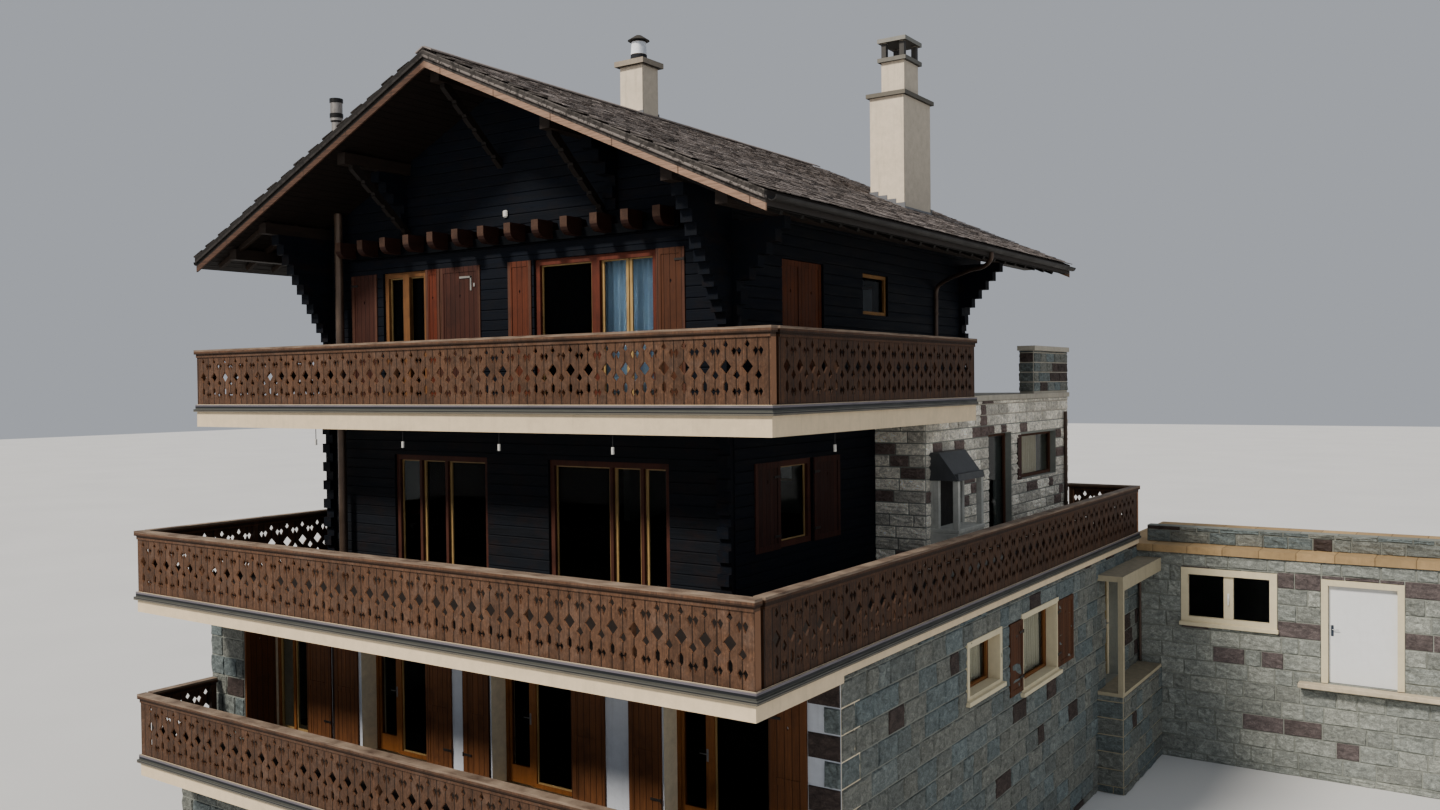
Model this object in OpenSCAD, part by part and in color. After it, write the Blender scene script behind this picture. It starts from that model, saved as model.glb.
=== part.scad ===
// Alpine chalet: a stone garden storey, a terrace storey and an upper storey of squared logs under
// a slate gable roof, with three fretwork balconies, a stone rear wing and a low stone annex.
// x runs along the gable front, y to the back, z up from the lowest ground.
// The origin is under the garden storey's front wall, below the ridge.

/* [Levels] */
// Height of the garden storey's floor over the lowest ground
garden_z = 2100; // [1950:10:2400]
// Height from the garden floor to the terrace deck
garden_h = 2700; // [2650:10:3000]
// Height from the terrace deck to the upper deck
terrace_h = 3040; // [2950:10:3300]
// Height from the upper deck to the top of the ridge
ridge_h = 5400; // [5200:10:5700]

/* [Garden storey] */
// Distance from the ridge line to the left face of the garden storey
garden_left = 5000; // [4900:10:5200]
// Distance from the ridge line to the right face of the garden storey
garden_right = 6950; // [6800:10:7200]
// Depth of the garden storey, outside
garden_d = 13600; // [13000:100:14500]
// Thickness of the stone walls
stone_t = 500; // [400:10:600]
// Width of the corner pier
pier_w = 940; // [800:10:950]
// How far the corner pier stands out of the front wall
pier_out = 600; // [500:10:700]
// Height of the glazed doors' heads over the floor
door_head = 2150; // [2050:10:2200]

/* [Timber body] */
// Width of the timber body
body_w = 9000; // [8600:50:9100]
// Depth of the timber body
body_d = 8430; // [8000:10:8800]
// How far the timber front stands behind the garden front
body_set = 1400; // [1200:10:1600]
// Thickness of the log walls
log_t = 200; // [150:10:240]
// Height of one log course
log_h = 170; // [150:5:200]
// Reach of the stepped log ends in front of the corners
console_out = 1150; // [1000:10:1250]

/* [Roof] */
// Width of the roof over both eaves
roof_w = 12160; // [11800:20:12600]
// Slope of the roof
roof_pitch = 24.2; // [23:0.1:25]
// Thickness of the roof, measured upright
roof_t = 200; // [160:10:240]
// Roof overhang before the timber front
front_over = 1580; // [1400:10:1700]
// Roof overhang behind the timber body
rear_over = 1940; // [1500:10:2200]
// Side of the square purlins
purlin_s = 190; // [150:5:220]
// Height of the verge boards
verge_h = 260; // [220:10:320]

/* [Balconies] */
// Height of a balustrade over its deck
rail_h = 1000; // [900:10:1100]
// Thickness of the fretwork boards
board_t = 28; // [22:1:35]
// Projection of the terrace before the garden front
terrace_out = 2000; // [1800:10:2200]
// Height of the terrace's edge
terrace_edge = 336; // [300:4:360]
// How far the terrace reaches past the timber body on the left
terrace_past = 560; // [510:10:700]
// Height of the upper balcony's edge
upper_edge = 410; // [360:10:440]
// Left end of the upper balcony from the ridge line
upper_left = 6420; // [6000:10:6600]
// Right end of the upper balcony from the ridge line
upper_right = 6040; // [5900:10:6200]
// Projection of the upper balcony before the timber front
upper_out = 1440; // [1300:10:1500]
// Length of the upper balcony's sides
upper_d = 6740; // [6400:10:7000]
// Right end of the lower balcony from the ridge line
lower_right = 6600; // [6300:10:6900]

/* [Rear wing] */
// How far the stone wing stands out of the timber side
wing_out = 960; // [800:10:1100]
// Where the wing starts behind the timber front
wing_y = 4470; // [4300:10:4600]
// Thickness of the wing's walls
wing_t = 380; // [300:10:420]

/* [Annex] */
// Width of the annex
annex_w = 6400; // [5800:100:7000]
// Depth of the annex
annex_d = 4200; // [3600:100:5000]
// Height of the annex coping's top over the garden floor
annex_h = 2450; // [2400:10:2500]

/* [Shutters] */
// Thickness of the shutters
shutter_t = 35; // [30:1:45]
// Width of the shutters' frames
shutter_rail = 90; // [70:5:110]

/* [Doors] */
// Thickness of the door leaves
leaf_t = 56; // [45:1:70]
// Gap round a door leaf
leaf_gap = 6; // [5:1:10]
// Width of the door and window frames
frame_w = 60; // [45:1:80]

/* [Hidden] */

// Levels
lower_z = garden_z;
terrace_z = garden_z + garden_h;
upper_z = terrace_z + terrace_h;
ridge_z = upper_z + ridge_h;
slab_z = terrace_z - terrace_edge;
upper_slab_z = upper_z - upper_edge;
flashing_h = 136;
lower_edge = 350;
lower_slab_z = lower_z - lower_edge;

// Plan of the garden storey
front_y = -stone_t / 2;
inner_y = stone_t / 2;
rear_y = front_y + garden_d;
side_x = garden_right;
terrace_x = garden_right + 50;
terrace_y = front_y - terrace_out;
pier_x = -garden_left - 200;

// Beside the garden storey the terrace's edge is thin and the stone runs up to it
strip_z = terrace_z - 250;
ledge = 200;

// The stone base under the lower balcony
balcony_base_out = 1200;

// Plan of the timber body
body_x = body_w / 2;
terrace_left = body_x + terrace_past;
body_y = front_y + body_set;
body_rear = body_y + body_d;

// Roof; lay is the play between a sloping face and what lies on it
lay = 0.5;
roof_x = roof_w / 2;
roof_front = body_y - front_over;
roof_rear = body_rear + rear_over;
rise = tan(roof_pitch);
function roof_top(x) = ridge_z - abs(x) * rise;
function roof_under(x) = roof_top(x) - roof_t;
function purlin_bottom(x) = roof_under(x + purlin_s / 2) - purlin_s - lay;
mid_x = body_x / 2;
plate_x = body_x - log_t / 2;
outer_x = roof_x - 800;
purlin_xs = [0, mid_x, plate_x, outer_x];
purlin_set = 180;
verge_t = 30;

// Upper balcony
upper_y = body_y - upper_out;
upper_rear = upper_y + upper_d;

// Rear wing
wing_x = body_x + wing_out;
wing_front = body_y + wing_y;
wing_rear = rear_y - 60;
wing_top = upper_slab_z;
wing_coping = 100;
parapet_y = wing_rear - 2200;
parapet_t = 300;
coping_lip = 40;

// Openings of the garden front: left and right
door_top = lower_z + door_head;
bays = [[-1950, -400], [1020, 2620], [4250, 5910]];
bay_window = [pier_x + pier_w, -3350];
post_off = 590;
reveal = 300;
frame_d = 70;

// Openings as start, end, sill and head along their wall
window_sill = lower_z + 860;
window_head = lower_z + 2050;
small_window = [3750, 5040, lower_z + 1250, lower_z + 2020];
side_window = [6100, 7850, window_sill, window_head];
entry_y = [10900, 11900];
entry_top = lower_z + 2020;
terrace_head = terrace_z + 2130;
upper_head = upper_z + 2290;
terrace_side = [2410, 3410, terrace_z + 800, terrace_head];
upper_side_door = [2530, 3820, upper_z, upper_z + 2180];
upper_side_window = [5200, 6170, upper_z + 1440, upper_z + 2140];
wing_door = [8500, 9730, terrace_z, terrace_z + 2290];
wing_window = [10260, 12470, terrace_z + 1310, terrace_z + 2220];

// Glazed openings of the timber front, each with its posts
terrace_lights = [[[-2680, -400, terrace_z, terrace_head], [-2060, -1420]],
    [[960, 3360, terrace_z, terrace_head], [2220, 2820]]];
upper_lights = [[[-2910, -1820, upper_z, upper_head], [-2365]],
    [[710, 3160, upper_z, upper_head], [1960]]];

// Annex
annex_y = rear_y;
annex_x = side_x + annex_w;
annex_top = lower_z + annex_h;
annex_t = 400;
annex_window = [side_x + 920, side_x + 2790, lower_z + 820, lower_z + 2000];
annex_doorway = [side_x + 3600, side_x + 5050];
annex_door_top = lower_z + 1960;
coping_h = 150;
coping_out = 60;
step_h = 120;
annex_parapet = [500, 800, 350];

// Windows that the rear and the left wall repeat
window_w = 1000;
rear_windows = [for (x = [-4000, -500, 3000]) [x, x + window_w, window_sill, window_head]];
left_windows = [for (y = [3500, 8500]) [y, y + window_w, window_sill, window_head]];
wing_rear_windows = [for (x = [-2500, 1500]) [x, x + window_w, terrace_side[2], terrace_head]];
upper_rear_windows = [for (x = [-2600, 1600]) [x, x + window_w, upper_z + 900, upper_head]];

// Porch over the entry
porch_x = side_x + 510;
porch_y = [10350, rear_y];
post_w = 100;
porch_top = lower_z + 2170;
porch_beam = 280;
porch_roof = 110;

// The inner floor is a step lower where the entry door swings
lobby = 1150;
lobby_side = 150;

// Hinges of the doors that open
hinge_r = 11;
pin_r = 7;
pin_play = 0.3;
plate_t = 8;
plate_w = 45;
barrel_h = 90;
knuckle_h = 40;
floor_gap = 8;
function hinge_zs(h) = [h * 0.12, h * 0.82];
annex_frame = [120, 150];
entry_frame = [80, 80];

// Glass
glass_t = 20;
glass_set = 10;
leaf_stile = 50;
leaf_panel = 270;

module box(lo, hi) translate(lo) cube(hi - lo);

// A wall that runs along x, cut through by openings given as [x0, x1, z0, z1]
module wall_x(lo, hi, holes = []) difference() {
    box(lo, hi);
    for (h = holes) box([h[0], lo.y - 1, h[2]], [h[1], hi.y + 1, h[3]]);
}

// A wall that runs along y, cut through by openings given as [y0, y1, z0, z1]
module wall_y(lo, hi, holes = []) difference() {
    box(lo, hi);
    for (h = holes) box([lo.x - 1, h[0], h[2]], [hi.x + 1, h[1], h[3]]);
}

// Places what stands in a wall: its own y = 0 becomes the outer face, its x runs along the wall
module facing_front(y) translate([0, y, 0]) children();
module facing_rear(y) translate([0, y, 0]) mirror([0, 1, 0]) children();
module facing_right(x) translate([x, 0, 0]) rotate(90) children();
module facing_left(x) mirror([1, 0, 0]) facing_right(x) children();

// A frame in the opening h, w wide and d deep, with upright posts before its glass
module frame(h, posts = [], w = frame_w, d = frame_d, post = frame_w) {
    difference() {
        box([h[0], 0, h[2]], [h[1], d, h[3]]);
        box([h[0] + w, -1, h[2] + w], [h[1] - w, d + 1, h[3] - w]);
    }
    for (p = posts) box([p - post / 2, 0, h[2] + w / 2],
        [p + post / 2, d - glass_set - glass_t, h[3] - w / 2]);
}

module glass(h, w = frame_w, d = frame_d)
    box([h[0] + w, d - glass_set - glass_t, h[2] + w], [h[1] - w, d - glass_set, h[3] - w]);

// A board shutter over the opening part h, its back on y = 0, with sunk panels and a small cut-out
module shutter(h, mid = 0) translate([h[0], -shutter_t, h[2]]) {
    w = h[1] - h[0];
    top = h[3] - h[2];
    sink = shutter_t / 4;
    rails = mid > 0 ? [shutter_rail, mid, mid + shutter_rail, top - shutter_rail]
        : [shutter_rail, top - shutter_rail];
    difference() {
        cube([w, shutter_t, top]);
        for (i = [0:2:len(rails) - 1])
            box([shutter_rail, -1, rails[i]], [w - shutter_rail, sink, rails[i + 1]]);
        translate([w / 2, shutter_t + 1, top * 0.78]) rotate([90, 0, 0])
            linear_extrude(shutter_t + 2) kite(0, 0, 36, 70, 0.6);
    }
}

module base_walls() color("#8d8f82") {
    box([-garden_left, front_y, 0], [side_x, inner_y, lower_slab_z]);
    box([pier_x, front_y - balcony_base_out, 0],
        [lower_right - 300, front_y - balcony_base_out + stone_t, lower_slab_z]);
}

module corner_pier() color("#a3a396")
    box([pier_x, front_y - pier_out, lower_z], [pier_x + pier_w, front_y, slab_z]);

module garden_front_piers() color("#d8cfbf") {
    edges = [bay_window[1], bays[0][0], bays[0][1], bays[1][0], bays[1][1], bays[2][0],
        bays[2][1], side_x];
    for (i = [0:2:6]) box([edges[i], front_y, lower_z], [edges[i + 1], inner_y, door_top]);
    box([-garden_left, front_y, lower_z], [bay_window[0], inner_y, door_top]);
}

module garden_front_lintel() color("#8d8f82")
    box([-garden_left, front_y, door_top], [side_x, inner_y, slab_z]);

// The right wall in two parts beside the entry, the front one with the strip under the terrace's
// thin edge, and the left wall
module garden_side_walls() color("#8d8f82") {
    wall_y([side_x - stone_t, inner_y, 0], [side_x, entry_y[0], slab_z],
        [small_window, side_window]);
    box([side_x - ledge, front_y, slab_z], [side_x, rear_y, strip_z]);
    box([side_x - stone_t, entry_y[1], 0], [side_x, rear_y - stone_t, slab_z]);
    wall_y([-garden_left, inner_y, 0], [stone_t - garden_left, rear_y - stone_t, slab_z],
        left_windows);
}

// The walls under and over the two outer doorways
module door_surrounds() color("#8d8f82") {
    box([side_x - stone_t, entry_y[0], 0], [side_x, entry_y[1], lower_z - step_h]);
    box([side_x - stone_t, entry_y[0], entry_top], [side_x, entry_y[1], slab_z]);
    box([annex_doorway[0], annex_y, 0], [annex_doorway[1], annex_y + annex_t, lower_z - step_h]);
    box([annex_doorway[0], annex_y, annex_door_top],
        [annex_doorway[1], annex_y + annex_t, annex_top - coping_h]);
}

module garden_rear_wall() color("#8d8f82")
    wall_x([-garden_left, rear_y - stone_t, 0], [side_x, rear_y, slab_z], rear_windows);

module garden_floor() color("#b9b2a4") difference() {
    box([stone_t - garden_left, inner_y, lower_slab_z],
        [side_x - stone_t, rear_y - stone_t, lower_z]);
    box([side_x - stone_t - lobby, entry_y[0] - lobby_side, lower_z - step_h],
        [side_x - stone_t + 1, entry_y[1] + lobby_side, lower_z + 1]);
}

module deck_slabs() color("#d9ccb4") {
    box([-terrace_left, terrace_y, lower_slab_z], [lower_right, front_y, lower_z]);
    difference() {
        box([-terrace_left, terrace_y, slab_z], [terrace_x, rear_y, terrace_z]);
        box([side_x - ledge, front_y, slab_z - 1], [terrace_x + 1, rear_y + 1, strip_z]);
    }
    box([-upper_left, upper_y, upper_slab_z], [upper_right, upper_rear, upper_z]);
    box([-body_x, upper_rear - 1, upper_slab_z], [body_x, body_rear, upper_z]);
}

// The metal profile round a deck's edge
module flashing(x0, x1, y0, y1, z) difference() {
    union() {
        box([x0 - 20, y0 - 20, z - flashing_h], [x1 + 20, y1, z - 6]);
        box([x0 - 45, y0 - 45, z - flashing_h], [x1 + 45, y1, z - flashing_h + 50]);
    }
    box([x0, y0, z - flashing_h - 1], [x1, y1 + 1, z + 1]);
}

module deck_flashings() color("#4c4d4f") {
    flashing(-terrace_left, terrace_x, terrace_y, rear_y, terrace_z);
    flashing(-upper_left, upper_right, upper_y, upper_rear, upper_z);
    flashing(-terrace_left, lower_right, terrace_y, front_y - pier_out - 50, lower_z);
}

// Cut-outs of the fretwork: every other joint has kites and a lens, those between them hearts
board_w = 165;
module kite(x, z, w, h, at = 0.5) translate([x, z - h / 2])
    polygon([[0, 0], [w / 2, h * at], [0, h], [-w / 2, h * at]]);
module lens(x, z, w, h) translate([x, z - h / 2])
    polygon([[0, 0], [w / 2, h * 0.3], [w / 2, h * 0.7], [0, h], [-w / 2, h * 0.7],
        [-w / 2, h * 0.3]]);
module motif(h) {
    kite(0, h * 0.91, 84, 120, 0.4);
    kite(0, h * 0.57, 178, 205);
    lens(0, h * 0.27, 74, 180);
    for (s = [-1, 1]) kite(board_w + s * 40, h * 0.79, 84, 140, 0.62);
    kite(board_w, h * 0.45, 112, 140, 0.42);
    for (s = [-1, 1]) kite(board_w + s * 34, h * 0.19, 76, 130, 0.58);
}

// Boards with that pattern from x = 0 to length, their outer face on y = 0
module fretwork(length, h) {
    pitch = 2 * board_w;
    n = floor((length - 120) / pitch);
    start = (length - n * pitch) / 2 + board_w / 2;
    translate([0, board_t, 0]) rotate([90, 0, 0]) linear_extrude(board_t) difference() {
        square([length, h]);
        for (i = [0:n - 1]) translate([start + i * pitch, 0]) motif(h);
    }
}

// A straight balustrade: fretwork boards, an upper rail, the handrail and the posts behind
handrail_t = 80;
rail_t = 60;
rail_post = 90;
module rail(length) {
    boards = rail_h - handrail_t - rail_t;
    fretwork(length, boards);
    box([0, -20, boards], [length, board_t + 50, boards + rail_t]);
    box([-30, -45, boards + rail_t], [length + 30, board_t + 85, rail_h]);
    n = ceil(length / 2000);
    for (i = [0:n]) translate([i * (length - rail_post) / n, board_t, 0])
        cube([rail_post, rail_post, boards + rail_t]);
}

// Rails along the front, the right side, the left side and the rear of a deck
rail_in = 10;
corner_gap = 190;
module rail_front(x0, x1, y, z) color("#7a4f3d")
    translate([x0 + rail_in, y + rail_in, z]) rail(x1 - x0 - 2 * rail_in);
module rail_right(x, y0, y1, z) color("#7a4f3d")
    translate([x - rail_in, y0, z]) rotate(90) rail(y1 - y0);
module rail_left(x, y0, y1, z) color("#7a4f3d")
    translate([x + rail_in, y1, z]) rotate(-90) rail(y1 - y0);

module lower_rail_front() rail_front(-terrace_left, lower_right, terrace_y, lower_z);
module lower_rail_left() rail_left(-terrace_left, terrace_y + corner_gap,
    front_y - pier_out - 100, lower_z);
module terrace_rail_front() rail_front(-terrace_left, terrace_x, terrace_y, terrace_z);
module terrace_rail_right() rail_right(terrace_x, terrace_y + corner_gap, rear_y - corner_gap,
    terrace_z);
module terrace_rail_left() rail_left(-terrace_left, terrace_y + corner_gap, rear_y - 40, terrace_z);
module terrace_rail_rear() color("#7a4f3d")
    translate([terrace_x - rail_in, rear_y - rail_in, terrace_z])
        rotate(180) rail(terrace_x - wing_x - 60);
module upper_rail_front() rail_front(-upper_left, upper_right, upper_y, upper_z);
module upper_rail_right() rail_right(upper_right, upper_y + corner_gap, upper_rear - 40, upper_z);
module upper_rail_left() rail_left(-upper_left, upper_y + corner_gap, upper_rear - 40, upper_z);

module upright(y, t) translate([0, y + t, 0]) rotate([90, 0, 0]) linear_extrude(t) children();

// The outline of a gable wall under the roof, less the purlins' pockets, the outer ones open to
// the corner
module gable_outline() difference() {
    polygon([[-body_x, upper_z], [body_x, upper_z], [body_x, roof_under(body_x) - lay],
        [0, roof_under(0) - lay], [-body_x, roof_under(body_x) - lay]]);
    for (s = [0, 1]) mirror([s, 0]) for (x = [0, mid_x, plate_x])
        translate([x - purlin_s / 2 - lay, purlin_bottom(x) - lay])
            square([x == plate_x ? log_t : purlin_s + 2 * lay, 2 * purlin_s]);
}

module purlin_ends() for (x = purlin_xs, s = [-1, 1]) if (x > 0 || s > 0)
    translate([s * x - purlin_s / 2, purlin_bottom(x)]) square(purlin_s);

// The front wall of the terrace storey and the gable walls at the front and the rear
module log_fronts() color("#2f3035") {
    wall_x([-body_x, body_y, terrace_z], [body_x, body_y + log_t, upper_slab_z],
        [for (d = terrace_lights) d[0]]);
    difference() {
        upright(body_y, log_t) gable_outline();
        for (d = upper_lights) box([d[0][0], body_y - 1, upper_z - 1],
            [d[0][1], body_y + log_t + 1, upper_head]);
    }
    difference() {
        upright(body_rear - log_t, log_t) gable_outline();
        for (h = upper_rear_windows) box([h[0], body_rear - log_t - 1, h[2]],
            [h[1], body_rear + 1, h[3]]);
    }
}

// The side walls of both storeys; the upper ones stop under the purlins that lie on them
plate_z = purlin_bottom(plate_x);
module log_sides() color("#2f3035") {
    wall_y([body_x - log_t, body_y + log_t, terrace_z], [body_x, wing_front, upper_slab_z],
        [terrace_side]);
    wall_y([-body_x, body_y + log_t, terrace_z], [log_t - body_x, body_rear, upper_slab_z],
        [terrace_side]);
    wall_y([body_x - log_t, body_y + log_t, upper_z], [body_x, body_rear - log_t, plate_z],
        [upper_side_door, upper_side_window]);
    wall_y([-body_x, body_y + log_t, upper_z], [log_t - body_x, body_rear - log_t, plate_z],
        [upper_side_window]);
}

// Log ends on a height h, seen from the side: short and long in turn, and under the top in steps
// that reach further out with each course
end_short = 80;
end_long = 150;
module log_ends(h, steps, reach) {
    n = floor(h / log_h);
    function out(k) = k < steps ? end_long + (reach - end_long) * (1 - k / steps)
        : k % 2 == 0 ? end_long : end_short;
    pts = [for (k = [0:n - 1]) each [[out(k), h - k * log_h], [out(k), h - (k + 1) * log_h]]];
    polygon([[0, h], for (p = pts) p, [0, h - n * log_h]]);
}

// Log ends at the corners: in front of the side walls under the wall plates, beside the gable
// walls under the outer purlins, and before an inner wall under the middle purlins
end_set = 10;
joist_z = upper_z + 2560;
joist_beam_h = 150;
joist_h = 130;
mid_console_z = joist_z + joist_beam_h + joist_h + 20;
mid_console_out = 620;
module corner_logs() color("#2f3035") for (s = [0, 1]) mirror([s, 0, 0]) {
    for (r = [0, 1]) translate([0, r * (body_y + body_rear), 0]) mirror([0, r, 0]) {
        log_row(body_x - log_t, body_y, upper_z)
            log_ends(plate_z - lay - upper_z, 10, console_out);
        log_row(mid_x + end_set, body_y, mid_console_z)
            log_ends(purlin_bottom(mid_x) - lay - mid_console_z, 3, mid_console_out);
        translate([body_x, 0, upper_z]) upright(body_y + end_set, log_t - 2 * end_set)
            log_ends(purlin_bottom(outer_x) - lay - upper_z, 5, outer_x + purlin_s / 2 - body_x);
    }
    log_row(body_x - log_t, body_y, terrace_z) log_ends(upper_slab_z - terrace_z, 0, end_long);
}

// Children stand out to the front from x, log_t thick
module log_row(x, y, z) translate([x, y, z]) rotate([90, 0, 90]) linear_extrude(log_t)
    mirror([1, 0]) children();

module roof() color("#6d6a66") upright(roof_front, roof_rear - roof_front)
    polygon([[-roof_x, roof_top(roof_x)], [0, ridge_z], [roof_x, roof_top(roof_x)],
        [roof_x, roof_under(roof_x)], [0, roof_under(0)], [-roof_x, roof_under(roof_x)]]);

module verge_outline(h) polygon([[-roof_x, roof_top(roof_x)], [0, ridge_z],
    [roof_x, roof_top(roof_x)], [roof_x, roof_top(roof_x) - h], [0, ridge_z - h],
    [-roof_x, roof_top(roof_x) - h]]);

// The upper strip in front of each board is the edge of the slates
verge_slates = 110;
module verge_boards() color("#a08373") {
    upright(roof_front - verge_t, verge_t) verge_outline(verge_h);
    upright(roof_front - 2 * verge_t, verge_t) verge_outline(verge_slates);
    upright(roof_rear, verge_t) verge_outline(verge_h);
    upright(roof_rear + verge_t, verge_t) verge_outline(verge_slates);
}

module purlins() color("#3a3530")
    upright(roof_front + purlin_set, roof_rear - roof_front - 2 * purlin_set) purlin_ends();

// Carved struts from the front wall to the ends of the ridge and middle purlins
brace_t = 100;
brace_w = 130;
brace_run = 1250;
brace_drop = 1020;
module brace_outline() difference() {
    polygon([[0, -brace_drop - brace_w], [0, -brace_drop], [brace_run - brace_w, 0],
        [brace_run, 0], [brace_run, -brace_w / 2]]);
    for (i = [1:5]) translate([brace_run * i / 6,
        (brace_drop + brace_w / 2) * i / 6 - brace_drop - brace_w - 12]) circle(45, $fn = 6);
}
module braces() color("#3a3530") for (x = [-mid_x, -brace_t / 2, mid_x - brace_t])
    translate([x, body_y, purlin_bottom(abs(x) < mid_x / 2 ? 0 : mid_x)]) rotate([90, 0, 90])
        linear_extrude(brace_t) mirror([1, 0]) brace_outline();

gutter_d = 140;
gutter_wall = 8;
module gutters() color("#5b4a40") for (s = [-1, 1])
    translate([s * (roof_x + gutter_d / 2), roof_front, roof_top(roof_x) - gutter_d / 2])
        rotate([-90, 0, 0]) linear_extrude(roof_rear - roof_front) difference() {
            circle(d = gutter_d, $fn = 24);
            circle(d = gutter_d - 2 * gutter_wall, $fn = 24);
            translate([-gutter_d, -2 * gutter_d]) square(2 * gutter_d);
        }

// The beam over the upper openings with the joist ends on it
joist_pitch = 590;
joist_n = 13;
joist_w = 100;
beam_out = 140;
joist_out = 260;
module joist_beam() color("#3a3530") {
    half = joist_pitch * (joist_n - 1) / 2 + joist_w / 2;
    box([-half - 90, body_y - beam_out, joist_z], [half + 90, body_y, joist_z + joist_beam_h]);
    for (i = [0:joist_n - 1]) translate([i * joist_pitch - half, body_y - joist_out,
        joist_z + joist_beam_h]) cube([joist_w, joist_out, joist_h]);
}

// What stands on the roof is cut by this shape of the roof and all below it
cut_h = 2000;
module under_roof(y, d) upright(y - 1, d + 2) verge_outline(cut_h);

// Ridge chimney: right edge, front, width, depth and height over the ridge
ridge_back = 3640;
ridge_shaft = [130, body_y + ridge_back, 530, 490, 930];
chimney_cap = 80;
// Side chimney: left edge, front, width, depth and height over the ridge, and its narrow shaft
side_back = 6900;
side_shaft = [3250, body_y + side_back, 720, 1250, 440];
narrow = [110, 300, 490, 650, 670];
module chimneys() color("#cfcabb") {
    r = ridge_shaft;
    top = ridge_z + r[4];
    difference() {
        box([r[0] - r[2], r[1], ridge_z - 500], [r[0], r[1] + r[3], top]);
        under_roof(r[1], r[3]);
    }
    box([r[0] - r[2] - chimney_cap, r[1] - chimney_cap, top],
        [r[0] + chimney_cap, r[1] + r[3] + chimney_cap, top + 100]);
    translate([r[0] - r[2] / 2, r[1] + r[3] / 2, top + 100]) {
        cylinder(h = 420, d1 = 330, d2 = 270);
        translate([0, 0, 420]) cylinder(h = 100, d1 = 420, d2 = 120);
    }
    s = side_shaft;
    difference() {
        box([s[0], s[1], roof_under(s[0] + s[2])], [s[0] + s[2], s[1] + s[3], ridge_z + s[4]]);
        under_roof(s[1], s[3]);
    }
    translate([s[0], s[1], ridge_z + s[4]]) {
        box([-60, -60, 0], [s[2] + 60, s[3] + 60, chimney_cap]);
        translate([narrow[0], narrow[1], chimney_cap]) {
            cube([narrow[2], narrow[3], narrow[4]]);
            for (z = [narrow[4], narrow[4] + 380])
                box([-60, -60, z], [narrow[2] + 60, narrow[3] + 60, z + 80]);
            for (i = [0, 1], j = [0, 1]) translate([i * (narrow[2] - 100), j * (narrow[3] - 100),
                narrow[4] + 80]) cube([100, 100, 300]);
        }
    }
}

flue_d = 150;
flue_in = 620;
flue_x = flue_in - body_x;
flue_y = body_y - 200;
flue_outer = 175;
flue_over = 90;
head_d = 215;
head_h = 410;
ring_h = 70;
rim = 12;
module stove_flue() color("#b5b8b8") {
    translate([flue_x, flue_y, 0]) {
        translate([0, 0, terrace_z]) cylinder(h = upper_slab_z - terrace_z, d = flue_d);
        translate([0, 0, upper_z])
            cylinder(h = roof_under(flue_x - flue_d / 2) - lay - upper_z, d = flue_d);
        translate([0, 0, ridge_z + flue_over - head_h]) cylinder(h = head_h, d = head_d);
        for (z = [ring_h, head_h - ring_h])
            translate([0, 0, ridge_z + flue_over - z]) cylinder(h = ring_h, d = head_d + 2 * rim);
    }
    difference() {
        translate([flue_x, flue_y, roof_under(flue_x)])
            cylinder(h = ridge_z + flue_over - head_h - roof_under(flue_x), d = flue_outer);
        under_roof(flue_y - head_d, 2 * head_d);
    }
}

module wing_side_wall() color("#8d8f82")
    wall_y([wing_x - wing_t, wing_front, terrace_z], [wing_x, wing_rear - wing_t, wing_top],
        [wing_door, wing_window]);

module wing_rear_wall() color("#8d8f82")
    wall_x([-body_x, wing_rear - wing_t, terrace_z], [wing_x, wing_rear, wing_top],
        wing_rear_windows);

module wing_end_walls() color("#8d8f82") {
    box([-body_x, body_rear, terrace_z], [wing_t - body_x, wing_rear - wing_t, wing_top]);
    box([body_x, wing_front, terrace_z], [wing_x - wing_t, wing_front + wing_t, wing_top]);
}

// The wing's flat roof, level with the upper deck, and the parapet on its right side
module wing_roof() color("#8d8f82") {
    wing_roof_layer(wing_top, upper_z - wing_coping, 0);
    wing_roof_layer(upper_z - wing_coping, upper_z, coping_lip);
    box([wing_x - parapet_t, parapet_y, upper_z],
        [wing_x, wing_rear, upper_z + rail_h - wing_coping]);
    box([wing_x - parapet_t - coping_lip, parapet_y - coping_lip, upper_z + rail_h - wing_coping],
        [wing_x + coping_lip, wing_rear + coping_lip, upper_z + rail_h]);
}

module wing_roof_layer(z0, z1, out) {
    box([body_x, upper_rear, z0], [wing_x + out, body_rear, z1]);
    box([-body_x - out, body_rear, z0], [wing_x + out, wing_rear + out, z1]);
}

// Outdoor fireplace: depth, length, height of its base, of its mouth and of its hood
hearth = [550, 2600, 800, 200, 1100];
hearth_back = 4600;
hearth_y = body_y + hearth_back;
cheek_t = 300;
hood_lip = 150;
hood_top = 120;
module fireplace() color("#b4b2aa") translate([wing_x, hearth_y, terrace_z]) {
    cube([hearth[0], hearth[1], hearth[2]]);
    for (y = [0, hearth[1] - cheek_t]) translate([0, y, hearth[2]])
        cube([hearth[0], cheek_t, hearth[3]]);
    translate([0, hearth[1], hearth[2] + hearth[3]]) rotate([90, 0, 0]) linear_extrude(hearth[1])
        polygon([[0, 0], [hearth[0], 0], [hearth[0], hood_lip], [hood_top, hearth[4]],
            [0, hearth[4]]]);
}

// The annex's front wall in two parts beside the door, and its rear wall
module annex_long_walls() color("#8d8f82") {
    wall_x([side_x, annex_y, 0], [annex_doorway[0], annex_y + annex_t, annex_top - coping_h],
        [annex_window]);
    box([annex_doorway[1], annex_y, 0], [annex_x, annex_y + annex_t, annex_top - coping_h]);
    box([side_x - annex_t, annex_y + annex_d - annex_t, 0],
        [annex_x, annex_y + annex_d, annex_top - coping_h]);
}

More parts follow.
